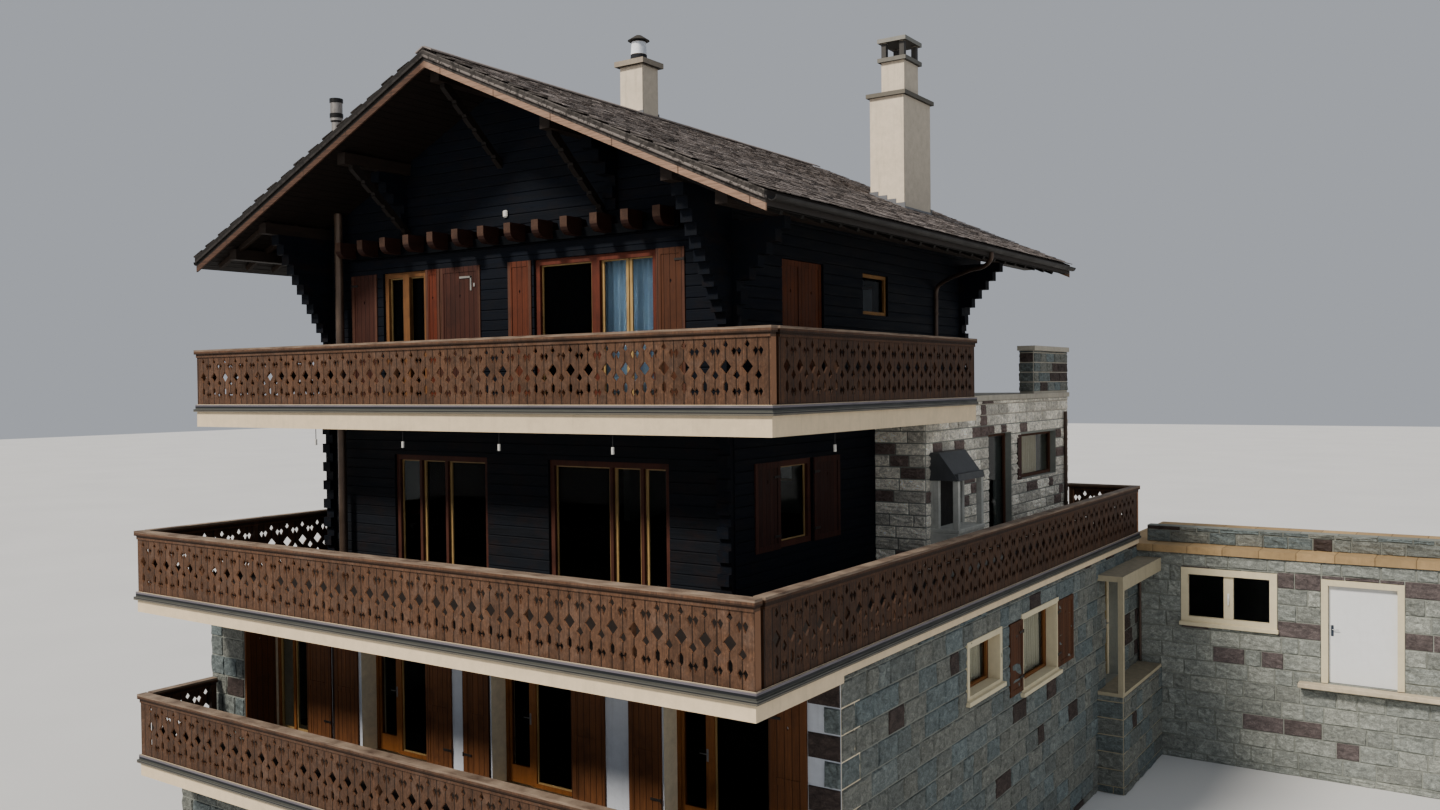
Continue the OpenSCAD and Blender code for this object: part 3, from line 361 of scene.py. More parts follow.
def timber(name, base, along=2, grain=0.012, dark=0.45, light=1.5, rough=(0.55, 0.85),
           boards=(), wear=0.35, bump=0.004, grey=0.0, deck=None, cut=3.6, spots=(), gloss=0.2):
    """Wood with grain along an axis, joints between boards and weathering."""
    f = Finish(name)
    long, wide = [grain] * 3, [0.09] * 3
    long[along], wide[along] = grain * 28, 1.1
    fibre = f.noise(long, 5, 0.65, 0.3)
    flow = f.noise(wide, 4, 0.6, 0.4)
    tone = f.ramp(flow, (0.25, shade(base, dark)), (0.5, base), (0.78, shade(base, light)))
    tone = f.mix(0.55, tone, f.ramp(fibre, (0.3, shade(base, dark * 0.8)),
                                    (0.6, shade(base, light))))
    if grey:
        tone = f.mix(f.patches((0.35, 0.35, 0.25), 6, 0.7, 0.48, 0.68, grey), tone, "#8a8078")
    worn = f.patches((0.05, 0.05, 0.16), 6, 0.75, 0.56, 0.7, wear, 0.5)
    tone = f.mix(worn, tone, shade(base, light * 1.6, -0.03))
    tone = f.mix(f.patches(0.5, 5, 0.65, 0.5, 0.72, 0.55), tone, shade(base, dark * 0.55))
    below = f.minus(1.0, f.above(deck + 0.86)) if deck else 1.0
    for axis, pitch, first, width in boards:
        each = f.times(f.board(axis, pitch, first), below)
        low, high = (0.6, 0.5) if deck else (0.42, 0.35)
        tone = f.mix(f.spread(each, 0.0, 1.0, 0.0, low), tone, shade(base, 0.42, 0.03))
        tone = f.mix(f.spread(each, 0.75, 1.0, 0.0, high), tone, shade(base, 2.0))
        joint = f.times(f.line(axis, pitch, first, width), below)
        tone = f.mix(f.times(joint, 0.85), tone, shade(base, 0.10))
        f.height(joint, -1.6)
        # On a balustrade: flecks, painted highlights on the cut edges and the handrail, and painted
        # shadow under it.
        if deck:
            tone = balustrade_wear(f, tone, base, axis, deck, below, cut)
    tone = f.repaint(tone, base, spots)
    f.height(fibre, 0.6)
    f.height(worn, 0.3)
    return f.done(tone, (*rough, fibre), bump, gloss=gloss)


def balustrade_wear(f, tone, base, axis, deck, below, cut):
    """Flecks, a painted highlight on the cut edges, the painted shadow under the handrail and its
    top worn and painted light.
    """
    fleck = f.ramp(f.noise((0.035, 0.035, 0.06), 5, 0.8, 0.4), (0.34, (0.45, 0.43, 0.42)),
                   (0.5, (1.0, 1.0, 1.0)), (0.62, (1.55, 1.58, 1.62)), (0.7, (2.3, 2.4, 2.5)))
    tone = f.mix(f.times(below, 0.6), tone, fleck, "MULTIPLY")
    # Painted highlight: the cut edges of the holes are lighter, as if lit.
    edge = f.times(below, f.minus(1.0, f.facing(1 - axis)))
    tone = f.mix(f.times(edge, 0.6), tone, shade(base, cut))
    # The handrail's top face and the top of its front are worn, and painted lighter as a highlight.
    worn_and_lit_top = f.ramp(f.noise((0.4, 0.4, 0.02), 5), (0.3, "#4c3c32"), (0.7, "#93816f"))
    tone = f.mix(f.times(f.facing(2), f.above(deck + 0.9)), tone, worn_and_lit_top)
    # Painted shadow under the handrail.
    tone = f.mix(f.times(f.inside(2, deck + 0.89, deck + 0.94), 0.7), tone, shade(base, 0.15))
    return f.mix(f.times(f.above(deck + 0.968), 0.85), tone, worn_and_lit_top)


def masonry(name, base, grain=0.02, dark=0.65, light=1.25, stain=0.3, rough=(0.7, 0.95),
            bump=0.004, moss=None, top=None, joints=(), cells=0.0, spots=(), returns=None):
    """Render, concrete or stone with soft patches, streaks down its faces and a rough grain."""
    f = Finish(name)
    broad = f.noise((0.9, 0.9, 0.7), 5, 0.6)
    small = f.noise(0.13, 6, 0.7)
    fine = f.noise(grain, 5, 0.7)
    tone = f.ramp(broad, (0.25, shade(base, dark)), (0.5, base), (0.75, shade(base, light)))
    tone = f.mix(0.5, tone, f.ramp(small, (0.3, shade(base, dark)), (0.7, shade(base, light))))
    streak = f.patches((0.12, 0.12, 1.6), 6, 0.7, 0.52, 0.75, stain, 0.2)
    tone = f.mix(streak, tone, shade(base, 0.28))
    if moss:
        specks = f.patches(0.045, 6, 0.8, 0.62, 0.72, 0.6)
        tone = f.mix(f.times(specks, moss), tone, (0.045, 0.045, 0.035))
    for axis, pitch, first, width in joints:
        tone = f.mix(f.times(f.board(axis, pitch, first), cells), tone, shade(base, 0.5))
        joint = f.line(axis, pitch, first, width)
        tone = f.mix(f.times(joint, 0.8), tone, shade(base, 0.3))
        f.height(joint, -1.5)
    if returns:
        tone = f.mix(f.facing(0), tone, f.ramp(small, (0.3, shade(returns, 0.85)),
                                               (0.7, shade(returns, 1.1))))
    tone = f.repaint(tone, base, spots)
    if top:
        tone = f.mix(f.facing(2), tone, f.ramp(small, (0.3, shade(top, 0.7)),
                                               (0.7, shade(top, 1.2))))
    f.height(fine, 0.7)
    f.height(small, 0.5)
    return f.done(tone, (*rough, small), bump)


def stone_face(name, *stops, bump=0.02):
    """Split stones, each with its own tone from the mesh, veined, mottled and pitted."""
    f = Finish(name)
    tone = f.ramp(f.own(), *stops)
    vein = f.noise((0.11, 0.11, 0.075), 7, 0.72, 0.8)
    tone = f.mix(0.9, tone, f.ramp(vein, (0.3, (0.38, 0.40, 0.41)), (0.5, (0.95, 0.95, 0.95)),
                                   (0.72, (1.8, 1.82, 1.8))), "MULTIPLY")
    fine = f.noise(0.022, 6, 0.75)
    tone = f.mix(0.8, tone, f.ramp(fine, (0.3, (0.5, 0.5, 0.5)), (0.7, (1.5, 1.5, 1.5))),
                 "MULTIPLY")
    tone = f.mix(f.patches((0.3, 0.3, 0.2), 6, 0.75, 0.6, 0.75, 0.3), tone, "#6b6358")
    f.height(vein, 1.4)
    f.height(fine, 0.4)
    return f.done(tone, (0.7, 0.95, fine), bump)


def metal(name, base, rough=(0.35, 0.6), metallic=0.8, dirt=0.4, spots=()):
    """Sheet or bar with a soft change of tone, and grime in streaks."""
    f = Finish(name)
    broad = f.noise(0.4, 5, 0.6)
    tone = f.ramp(broad, (0.3, shade(base, 0.7)), (0.7, shade(base, 1.25)))
    grime = f.patches((0.07, 0.07, 0.3), 6, 0.75, 0.5, 0.75, dirt)
    tone = f.repaint(f.mix(grime, tone, shade(base, 0.3)), base, spots)
    f.height(f.noise(0.015, 5, 0.7), 0.5)
    return f.done(tone, (*rough, broad), 0.002, metallic, 0.5)


def flashing_bands(name, decks):
    """Sheet metal round the decks: pale lip, bands of painted shade as grooves, and grey folds under
    each top.
    """
    f = Finish(name)
    depth = 1.0
    for deck in decks:
        depth = f.maths("MINIMUM", f.maths("ABSOLUTE", f.minus(f.axes[2], deck)), depth)
    # The dark bands are painted shade in grooves and under folds.
    stops = ((0.0, "#a59a90"), (0.07, "#a59a90"), (0.09, "#77717a"), (0.24, "#7d7880"),
             (0.27, "#171b21"), (0.46, "#1b2026"), (0.50, "#55564f"), (0.68, "#6a6a63"),
             (0.71, "#222326"), (0.79, "#26282b"), (0.82, "#7b7568"), (1.0, "#6e6a5e"))
    tone = f.ramp(f.spread(depth, 0.0, 0.14), *((at, shade(code, 0.68)) for at, code in stops))
    grime = f.noise((0.5, 0.5, 0.03), 5, 0.7)
    tone = f.mix(f.spread(grime, 0.5, 0.75, 0.0, 0.5), tone, "#2c2b2a")
    f.height(grime, 0.5)
    return f.done(tone, (0.4, 0.7, grime), 0.002, 0.2, 0.3)


def clear_glass(name, base="#e2e8ea"):
    """Panes with a thin film, painted nearly black as shade where a deep room lies behind them."""
    f = Finish(name)
    film = f.noise((0.25, 0.25, 0.4), 4, 0.6)
    tone = f.ramp(film, (0.3, shade(base, 0.92)), (0.7, base))
    # Painted shade: the left side's panes and the rear panes are nearly black.
    far = shade(base, 0.03)
    tone = f.repaint(tone, base, [(far, (0, -5.3, -4.25)), (far, (0, -4.24, 4.9), (1, 9.0, 14.0))])
    f.shader.inputs["Transmission Weight"].default_value = 1.0
    f.shader.inputs["IOR"].default_value = 1.08
    f.height(film, 0.4)
    return f.done(tone, (0.02, 0.06, film), 0.001, gloss=0.5)


def tarred(name, along, brown=0.25):
    """Dark log wood, its tar worn to grey and brown in streaks along the grain."""
    base = "log"
    f = Finish(name)
    long, wide = [0.012] * 3, [0.10] * 3
    long[along], wide[along] = 0.4, 1.4
    fibre = f.noise(long, 5, 0.7, 0.3)
    flow = f.noise(wide, 5, 0.65, 0.5)
    worn = shade(base, 1.9, 0.1)
    tone = f.ramp(flow, (0.25, shade(base, 0.4)), (0.5, base), (0.75, worn))
    tone = f.mix(f.spread(f.own(), 0.0, 1.0, 0.0, 0.4), tone, worn)
    tone = f.mix(0.4, tone, f.ramp(fibre, (0.3, shade(base, 0.35)), (0.65, shade(base, 1.9))))
    tone = f.mix(f.patches((0.5, 0.5, 0.3), 5, 0.7, 0.5, 0.7, brown), tone, "#1f1510")
    check = f.patches([w * 0.25 for w in wide], 6, 0.8, 0.66, 0.7, 1.0)
    tone = f.mix(f.times(check, 0.7), tone, (0.002, 0.002, 0.002))
    # Painted light: the front logs of the terrace storey are lighter than those under the roof.
    if along == 0:
        tone = f.repaint(tone, base, [("#101216", (2, 4.7, 7.5))])
    f.height(fibre, 0.7)
    f.height(check, -1.5)
    return f.done(tone, (0.6, 0.85, flow), 0.006, gloss=0.1)


def slating(name, base="slate"):
    """Slates, each with its own tone, patched with lichen and pits, with painted shade left of the
    ridge and on the faces that look along it.
    """
    f = Finish(name)
    tone = f.ramp(f.own(), (0.0, shade(base, 0.42)), (0.3, shade(base, 0.8, -0.04)), (0.6, base),
                  (1.0, shade(base, 1.6)))
    patch = f.noise(0.12, 6, 0.75)
    tone = f.mix(0.7, tone, f.ramp(patch, (0.3, (0.5, 0.5, 0.5)), (0.7, (1.6, 1.58, 1.55))),
                 "MULTIPLY")
    tone = f.mix(f.patches(0.06, 6, 0.85, 0.54, 0.64, 0.55), tone, "#b3aaa4")
    tone = f.mix(f.patches(0.075, 5, 0.8, 0.54, 0.62, 0.75, 0.3), tone, shade(base, 0.14))
    # Painted shade: the slates left of the ridge are darker.
    tone = f.mix(f.left(0.5), tone, shade(base, 0.2))
    # Painted shade: the slates' faces that look along the ridge are near black, as in the gaps
    # between them.
    tone = f.mix(f.times(f.facing(1, 0.6, 0.9), 0.85), tone, shade(base, 0.08))
    f.height(patch, 1.0)
    return f.done(tone, (0.55, 0.9, patch), 0.006)


def verge_strip(name, base="verge"):
    """The roof's edge: a slate strip with pale lips and bands of painted shade over a board, all
    painted darker on the left as shade.
    """
    f = Finish(name)
    under = f.minus(f.minus(RIDGE_Z, f.axes[2]), f.times(f.maths("ABSOLUTE", f.axes[0]), RISE))
    grain = f.noise((0.35, 0.35, 0.014), 5, 0.65, 0.3)
    wood = f.ramp(grain, (0.3, shade(base, 0.5)), (0.5, base), (0.75, shade(base, 1.4)))
    # Painted shade: the board is darker left of the ridge.
    wood = f.mix(f.left(1.0), wood, f.ramp(grain, (0.3, "#2c1d16"), (0.7, "#5c4234")))
    joint = f.line(0, 1.1, 0.35, 0.012)
    wood = f.mix(f.times(joint, 0.8), wood, shade(base, 0.15))
    patch = f.noise((0.1, 0.1, 0.05), 6, 0.7)
    stone = f.ramp(patch, (0.3, shade("slate", 0.4)), (0.7, shade("slate", 1.3)))
    # Pale lips, with bands of painted shade between and under them.
    edge = f.ramp(f.spread(under, 0.0, 0.17), (0.0, "#585350"), (0.08, "#484440"),
                  (0.14, "#1d1b17"), (0.38, "#262320"), (0.44, "#7f7873"), (0.58, "#6a625d"),
                  (0.64, "#1c1916"), (0.9, "#2a241f"))
    stone = f.mix(0.8, stone, edge)
    # Dark dashes of painted shade in the gaps between the slates.
    stone = f.mix(f.patches(0.10, 4, 0.8, 0.5, 0.56, 0.8), stone, "#1a1714")
    # Painted shade: the slate strip is near black left of the ridge.
    stone = f.mix(f.left(0.88), stone, "#14110f")
    tone = f.mix(f.spread(under, 0.162, 0.17, 1.0, 0.0), wood, stone)
    f.height(grain, 0.6)
    f.height(joint, -1.0)
    return f.done(tone, (0.6, 0.9, grain), 0.004)


def cotton(name, base):
    """Woven cotton: fine threads, a soft change of tone and a faint sheen."""
    f = Finish(name)
    thread = f.noise(0.004, 4, 0.7)
    soft = f.noise((0.10, 0.10, 0.9), 4, 0.6)
    tone = f.ramp(soft, (0.3, shade(base, 0.8)), (0.7, shade(base, 1.1)))
    tone = f.mix(0.3, tone, f.ramp(thread, (0.3, shade(base, 0.7)), (0.7, shade(base, 1.15))))
    f.shader.inputs["Sheen Weight"].default_value = 0.3
    f.height(thread, 0.6)
    return f.done(tone, (0.8, 0.95, thread), 0.001)


# Modelling helpers

def free():
    """Object mode with nothing selected."""
    if bpy.context.mode != "OBJECT":
        bpy.ops.object.mode_set(mode="OBJECT")
    bpy.ops.object.select_all(action="DESELECT")


def settle():
    """Takes the active object's place, turn and size into its mesh."""
    bpy.ops.object.transform_apply(location=True, rotation=True, scale=True)
    return bpy.context.object


def block(low, high):
    """A box primitive between two corners, its place in its mesh."""
    free()
    low, high = zip(*(sorted(pair) for pair in zip(low, high)))
    bpy.ops.mesh.primitive_cube_add(size=1, location=[(a + b) / 2 for a, b in zip(low, high)])
    bpy.context.object.scale = [b - a for a, b in zip(low, high)]
    return settle()


def alone(made, kind):
    """Selects only this object and nothing in its mesh, which it returns."""
    free()
    made.select_set(True)
    bpy.context.view_layer.objects.active = made
    bpy.context.tool_settings.mesh_select_mode = [kind == k for k in ("point", "edge", "face")]
    for group in (made.data.vertices, made.data.edges, made.data.polygons):
        group.foreach_set("select", [False] * len(group))
    return made.data


def every(*_):
    return True


def open_faces(made, wanted=every):
    """Opens edit mode with the faces selected whose centre and normal pass wanted."""
    for face in alone(made, "face").polygons:
        face.select = bool(wanted(face.center, face.normal))
    bpy.ops.object.mode_set(mode="EDIT")


def open_edges(made, wanted=every):
    """Opens edit mode with the edges selected whose two ends pass wanted."""
    mesh = alone(made, "edge")
    for edge in mesh.edges:
        edge.select = bool(wanted(*(mesh.vertices[i].co for i in edge.vertices)))
    bpy.ops.object.mode_set(mode="EDIT")


def bevel(made, width, segments=1, wanted=every):
    """Bevels the edges whose two ends pass wanted."""
    open_edges(made, wanted)
    bpy.ops.mesh.bevel(offset=width, segments=segments, affect="EDGES")
    free()
    return made


def outward(made, merge=0.0):
    """Points a closed mesh's faces outwards, after merging its doubles."""
    open_faces(made)
    if merge:
        bpy.ops.mesh.remove_doubles(threshold=merge)
    bpy.ops.mesh.normals_make_consistent(inside=False)
    free()
    return made


def plank(low, high, ease=0.004):
    """A box with eased edges."""
    return bevel(block(low, high), ease)


def rod(start, end, radius, sides=12):
    """A round bar between two points, its rims bevelled."""
    start, end = Vector(start), Vector(end)
    free()
    bpy.ops.mesh.primitive_cylinder_add(vertices=sides, radius=radius,
                                        depth=(end - start).length)
    bpy.context.object.matrix_world = Matrix.Translation((start + end) / 2) @ \
        (end - start).to_track_quat("Z", "Y").to_matrix().to_4x4()
    return bevel(settle(), radius * 0.12)


def bent_pipe(points, radius):
    """A pipe through these points, with round bends and closed ends."""
    free()
    line = bpy.data.curves.new("pipe_line", "CURVE")
    line.dimensions = "3D"
    line.bevel_depth, line.bevel_resolution, line.resolution_u = radius, 3, 6
    line.use_fill_caps = True
    course = line.splines.new("BEZIER")
    course.bezier_points.add(len(points) - 1)
    for knot, point in zip(course.bezier_points, points):
        knot.co = point
        knot.handle_left_type = knot.handle_right_type = "AUTO"
    made = bpy.data.objects.new("pipe_line", line)
    bpy.context.scene.collection.objects.link(made)
    made.select_set(True)
    bpy.context.view_layer.objects.active = made
    bpy.ops.object.convert(target="MESH")
    return outward(bpy.context.object, 0.0001)


def on_side(side, plane, along, out, z):
    """The point this far along a wall, out from its face and up."""
    _, faces_y, sign = SIDES[side]
    return (along, plane + sign * out, z) if faces_y else (plane + sign * out, along, z)


def on_wall(side, plane, along, height):
    """The matrix that sets a piece modelled to face the front on a wall's face."""
    return Matrix.Translation(on_side(side, plane, along, 0, height)) @ \
        Matrix.Rotation(math.radians(SIDES[side][0]), 4, "Z")


def ring(side, plane, hole, width, depth, out=0.0):
    """A frame of this width inside a hole, flat on a plane and standing out from it."""
    turn, faces_y, sign = SIDES[side]
    a0, a1, z0, z1 = hole
    free()
    bpy.ops.mesh.primitive_plane_add(size=1)
    made = bpy.context.object
    made.scale = (a1 - a0, z1 - z0, 1)
    made.rotation_euler = (math.pi / 2, 0, math.radians(turn))
    made.location = on_side(side, plane, (a0 + a1) / 2, 0, (z0 + z1) / 2)
    settle()
    open_faces(made)
    bpy.ops.mesh.inset(thickness=width)
    bpy.ops.mesh.delete(type="FACE")
    bpy.ops.mesh.select_all(action="SELECT")
    way = Vector((0, sign, 0) if faces_y else (sign, 0, 0))
    bpy.ops.transform.translate(value=way * out)
    bpy.ops.mesh.extrude_region_move(TRANSFORM_OT_translate={"value": way * -depth})
    return outward(made)


def piece(name, parts, finish, body=HOUSE):
    """Joins the parts to one named piece with its finish, riding on its body."""
    free()
    parts = list(parts)
    made = parts[0]
    with bpy.context.temp_override(object=made, active_object=made, selected_objects=parts,
                                   selected_editable_objects=parts):
        bpy.ops.object.join()
    made.name = made.data.name = name
    made.data.materials.clear()
    made.data.materials.append(finish)
    made.data.polygons.foreach_set("material_index", [0] * len(made.data.polygons))
    made.data.update()
    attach(made, body)
    return made


def with_tone(master):
    """Gives a master the attribute that holds each copy's own tone."""
    master.data.attributes.new("tone", "FLOAT", "POINT")
    return master


def copy_of(master, place, tone=None):
    """A copy of the master with its own mesh, its place in that mesh."""
    mesh = master.data.copy()
    mesh.transform(place)
    if tone is not None:
        mesh.attributes["tone"].data.foreach_set("value", [tone] * len(mesh.vertices))
    made = bpy.data.objects.new(master.name, mesh)
    bpy.context.scene.collection.objects.link(made)
    return made


def drop(*masters):
    for master in masters:
        bpy.data.objects.remove(master)


def dress(finish, *nodes):
    """Gives CAD nodes a finish."""
    for node in nodes:
        if node not in NODES:
            raise RuntimeError("there is no node named " + node)
        if not NODES[node].data.materials:
            NODES[node].data.materials.append(None)
        for slot in NODES[node].material_slots:
            slot.material = finish


def clear_of(area, holes):
    """The rectangles (from, to, low, high) left of an area beside, over and under holes."""
    areas = [area]
    for h0, h1, l0, l1 in holes:
        left = []
        for a0, a1, z0, z1 in areas:
            if h0 >= a1 or h1 <= a0 or l0 >= z1 or l1 <= z0:
                left.append((a0, a1, z0, z1))
                continue
            low, high = max(a0, h0), min(a1, h1)
            left += [part for part in ((a0, low, z0, z1), (high, a1, z0, z1),
                                       (low, high, z0, l0), (low, high, l1, z1))
                     if part[1] > part[0] and part[3] > part[2]]
        areas = left
    return areas


# Stonework

class Mason:
    """Lays split stones of one course height; masters are modelled once for each length."""
    LENGTHS = (0.34, 0.46, 0.58, 0.72)
    SHORTEST, LONGEST = 0.2, 0.9

    def __init__(self, rng, lengths, course, first):
        self.rng, self.course, self.first = rng, course, first
        self.joint = sizes().joint
        self.high = course - self.joint
        self.masters = [(length, self.master(length, index * 7 + turn))
                        for index, length in enumerate(lengths) for turn in range(3)]

    def master(self, length, seed):
        """A split-faced stone: drafted edge, swollen and uneven middle."""
        high = self.high
        made = block((-length / 2, -0.003, -high / 2), (length / 2, 0.02, high / 2))
        open_faces(made, lambda centre, normal: normal.y < -0.9)
        bpy.ops.mesh.inset(thickness=0.014, depth=sizes().swell)
        bpy.ops.mesh.subdivide(number_cuts=3)
        bpy.ops.transform.vertex_random(offset=0.015, uniform=0.4, seed=seed)
        free()
        return with_tone(made)

    def lines(self, low, high):
        """Heights of the joints between courses, with the wall's foot and head."""
        lines, level = [low], self.first
        while level < high - 0.03:
            if level > low + 0.03:
                lines.append(level)
            level += self.course
        return lines + [high]

    def wall(self, stones, side, plane, area, holes, dark):
        """Lays courses over an area of a wall, beside its openings."""
        rng = self.rng
        lines = self.lines(*area[2:])
        for row, (z0, z1) in enumerate(zip(lines, lines[1:])):
            for a0, a1, l0, l1 in clear_of((area[0], area[1], z0, z1), holes):
                if l1 - l0 < self.joint * 2 or a1 - a0 < self.joint * 2:
                    continue
                at = a0
                while at < a1 - 0.001:
                    length = rng.choice(self.LENGTHS) * rng.uniform(0.9, 1.12) * \
                        (self.course / 0.333) ** 0.4
                    if a1 - (at + length) < self.SHORTEST:
                        length = a1 - at
                    if a1 - at > 1.0 and length > self.LONGEST:
                        length = (a1 - at) / 2
                    share = dark(row, at) if callable(dark) else dark
                    # Below 0.1 a tone is dark, and above it spreads over the greys
                    tone = rng.uniform(0.0, 0.08) if rng.random() < share else \
                        rng.uniform(0.2, 1.0)
                    self.stone(stones, side, plane, (at, at + length, l0, l1), tone)
                    at += length

    def stone(self, stones, side, plane, area, tone):
        a0, a1, z0, z1 = area
        width, tall = a1 - a0 - self.joint, z1 - z0 - self.joint
        if width < 0.03 or tall < 0.02:
            return
        fits = sorted(self.masters, key=lambda m: abs(m[0] - width))[:3]
        length, master = self.rng.choice(fits)
        size = Matrix.Diagonal((width / length, self.rng.uniform(0.8, 1.25), tall / self.high, 1))
        place = on_wall(side, plane, (a0 + a1) / 2, (z0 + z1) / 2) @ size
        stones.append(copy_of(master, place, tone))

    def walls(self, name, finish, dark, *faces):
        """A piece of stones over faces (side, plane, area, openings)."""
        stones = []
        for side, plane, area, *holes in faces:
            self.wall(stones, side, plane, area, holes[0] if holes else [], dark)
        piece(name, stones, finish)


class CHALET_OT_stonework(bpy.types.Operator):
    """Lay the split stones of the garden storey, the annex and the wing"""
    bl_idname = "chalet.stonework"
    bl_label = "Stonework"

    def execute(self, context):
        rng = random.Random(71)
        course, first = sizes().stone_course, 0.144
        stone = stone_face("split_stone", (0.0, shade("stone_dark", 0.9)),
                           (0.09, shade("stone_dark", 1.3)), (0.14, shade("stone", 0.8)),
                           (0.4, "stone_blue"), (0.62, "stone"), (0.85, shade("stone", 1.15)),
                           (1.0, shade("stone_blue", 1.2)))
        # The annex's walls: the stone painted paler, as if sunlit; its parapet keeps the darker
        # stone.
        painted_sunlit_stone = stone_face("annex_stone", (0.0, shade("stone_dark", 2.0, 0.08)),
                           (0.09, shade("stone_dark", 2.8, 0.1)), (0.14, shade("stone", 1.3)),
                           (0.5, shade("stone", 1.6, 0.03)), (1.0, shade("stone", 2.0)))
        # The wing's walls: the stone painted much paler, as light on walls in the shade of the upper
        # deck; its parapet keeps the darker stone as shade.
        pale = "#d8d2c4"
        wing = stone_face("wing_stone", (0.0, shade("stone_dark", 3.0)),
                          (0.09, shade("stone_dark", 4.0)), (0.14, shade(pale, 0.6)), (0.5, pale),
                          (1.0, shade(pale, 1.4)), bump=0.03)
        large = Mason(rng, (0.2, 0.34, 0.5, 0.7), course, first)
        small = Mason(rng, (0.16, 0.28, 0.42), sizes().wing_course, TERRACE)
        large.walls("garden_stones_right", stone, 0.06,
                    ("right", GARDEN_RIGHT, (GARDEN_FRONT, GARDEN_REAR, 0, 4.55),
                     [SMALL_WINDOW, SIDE_WINDOW, ENTRY]))
        large.walls("garden_stones_left", stone, 0.06,
                    ("left", GARDEN_LEFT, (GARDEN_FRONT, GARDEN_REAR, 0, GARDEN_HEAD),
                     LEFT_WINDOWS),
                    ("left", -5.2, (-0.85, GARDEN_FRONT, LOWER, GARDEN_HEAD)),
                    ("front", -0.85, (-5.2, -4.26, LOWER, GARDEN_HEAD)))
        large.walls("garden_stones_rear", stone, 0.06,
                    ("rear", GARDEN_REAR, (GARDEN_LEFT, ANNEX_LEFT, 0, GARDEN_HEAD), REAR_WINDOWS))
        large.walls("base_stones", stone, 0.06,
                    ("front", -1.45, (-5.2, 6.3, 0, BASE_HEAD)),
                    ("right", 6.3, (-1.45, -0.95, 0, BASE_HEAD)),
                    ("left", -5.2, (-1.45, -0.95, 0, BASE_HEAD)),
                    ("front", GARDEN_FRONT, (6.3, GARDEN_RIGHT, 0, BASE_HEAD)))
        large.walls("annex_stones", painted_sunlit_stone, self.annex_dark,
                    ("front", GARDEN_REAR, (GARDEN_RIGHT, ANNEX_RIGHT, 0, ANNEX_HEAD),
                     [ANNEX_WINDOW, ANNEX_DOOR]),
                    ("right", ANNEX_RIGHT, (GARDEN_REAR, ANNEX_BACK, 0, ANNEX_HEAD)),
                    ("rear", ANNEX_BACK, (ANNEX_LEFT, ANNEX_RIGHT, 0, ANNEX_HEAD)),
                    ("left", ANNEX_LEFT, (GARDEN_REAR, ANNEX_BACK, 0, ANNEX_HEAD)))
        large.walls("annex_parapet_stones", stone, 0.06,
                    ("front", 13.85, (7.05, ANNEX_RIGHT, 4.55, 4.90)),
                    ("rear", 14.15, (7.05, ANNEX_RIGHT, 4.55, 4.90)))
        large.walls("porch_stones", stone, 0.06,
                    ("right", PORCH_RIGHT, (PORCH_FRONT, GARDEN_REAR, 0, 1.92)),
                    ("front", PORCH_FRONT, (GARDEN_RIGHT, PORCH_RIGHT, 0, 1.92)))
        quoins = []
        level, row = first + 6 * course, 0
        while level < 4.2:
            length, tone = ((0.47, 0.04), (0.24, 0.45))[row % 2]
            top = min(level + course, GARDEN_HEAD)
            large.stone(quoins, "front", GARDEN_FRONT,
                        (GARDEN_RIGHT - length, GARDEN_RIGHT, level, top), tone)
            level, row = level + course, row + 1
        piece("corner_quoins", quoins, stone)
        small.walls("wing_stones", wing, 0.14,
                    ("right", WING_RIGHT, (WING_FRONT, WING_BACK, TERRACE, WING_HEAD),
                     [WING_DOOR, WING_WINDOW]),
                    ("front", WING_FRONT, (LOG_SIDE, WING_RIGHT, TERRACE, TERRACE_HEAD)),
                    ("rear", WING_BACK, (-LOG_SIDE, WING_RIGHT, TERRACE, WING_HEAD), WING_REAR),
                    ("left", -LOG_SIDE, (LOG_REAR, WING_BACK, TERRACE, WING_HEAD)))
        small.walls("wing_parapet_stones", stone, 0.14,
                    ("right", WING_RIGHT, (11.09, WING_BACK, UPPER, 8.74)),
                    ("left", 5.16, (11.09, WING_BACK, UPPER, 8.74)),
                    ("front", 11.09, (5.16, WING_RIGHT, UPPER, 8.74)),
                    ("rear", WING_BACK, (5.16, WING_RIGHT, UPPER, 8.74)))
        drop(*(made for _, made in large.masters + small.masters))
        return {"FINISHED"}

    def annex_dark(self, row, at):
        """The share of dark stones: most of two courses beside the door, none at the top."""
        if row == 13:
            return 0.0
        return 0.85 if row in (9, 12) and at > 9.7 else 0.08


# Logs

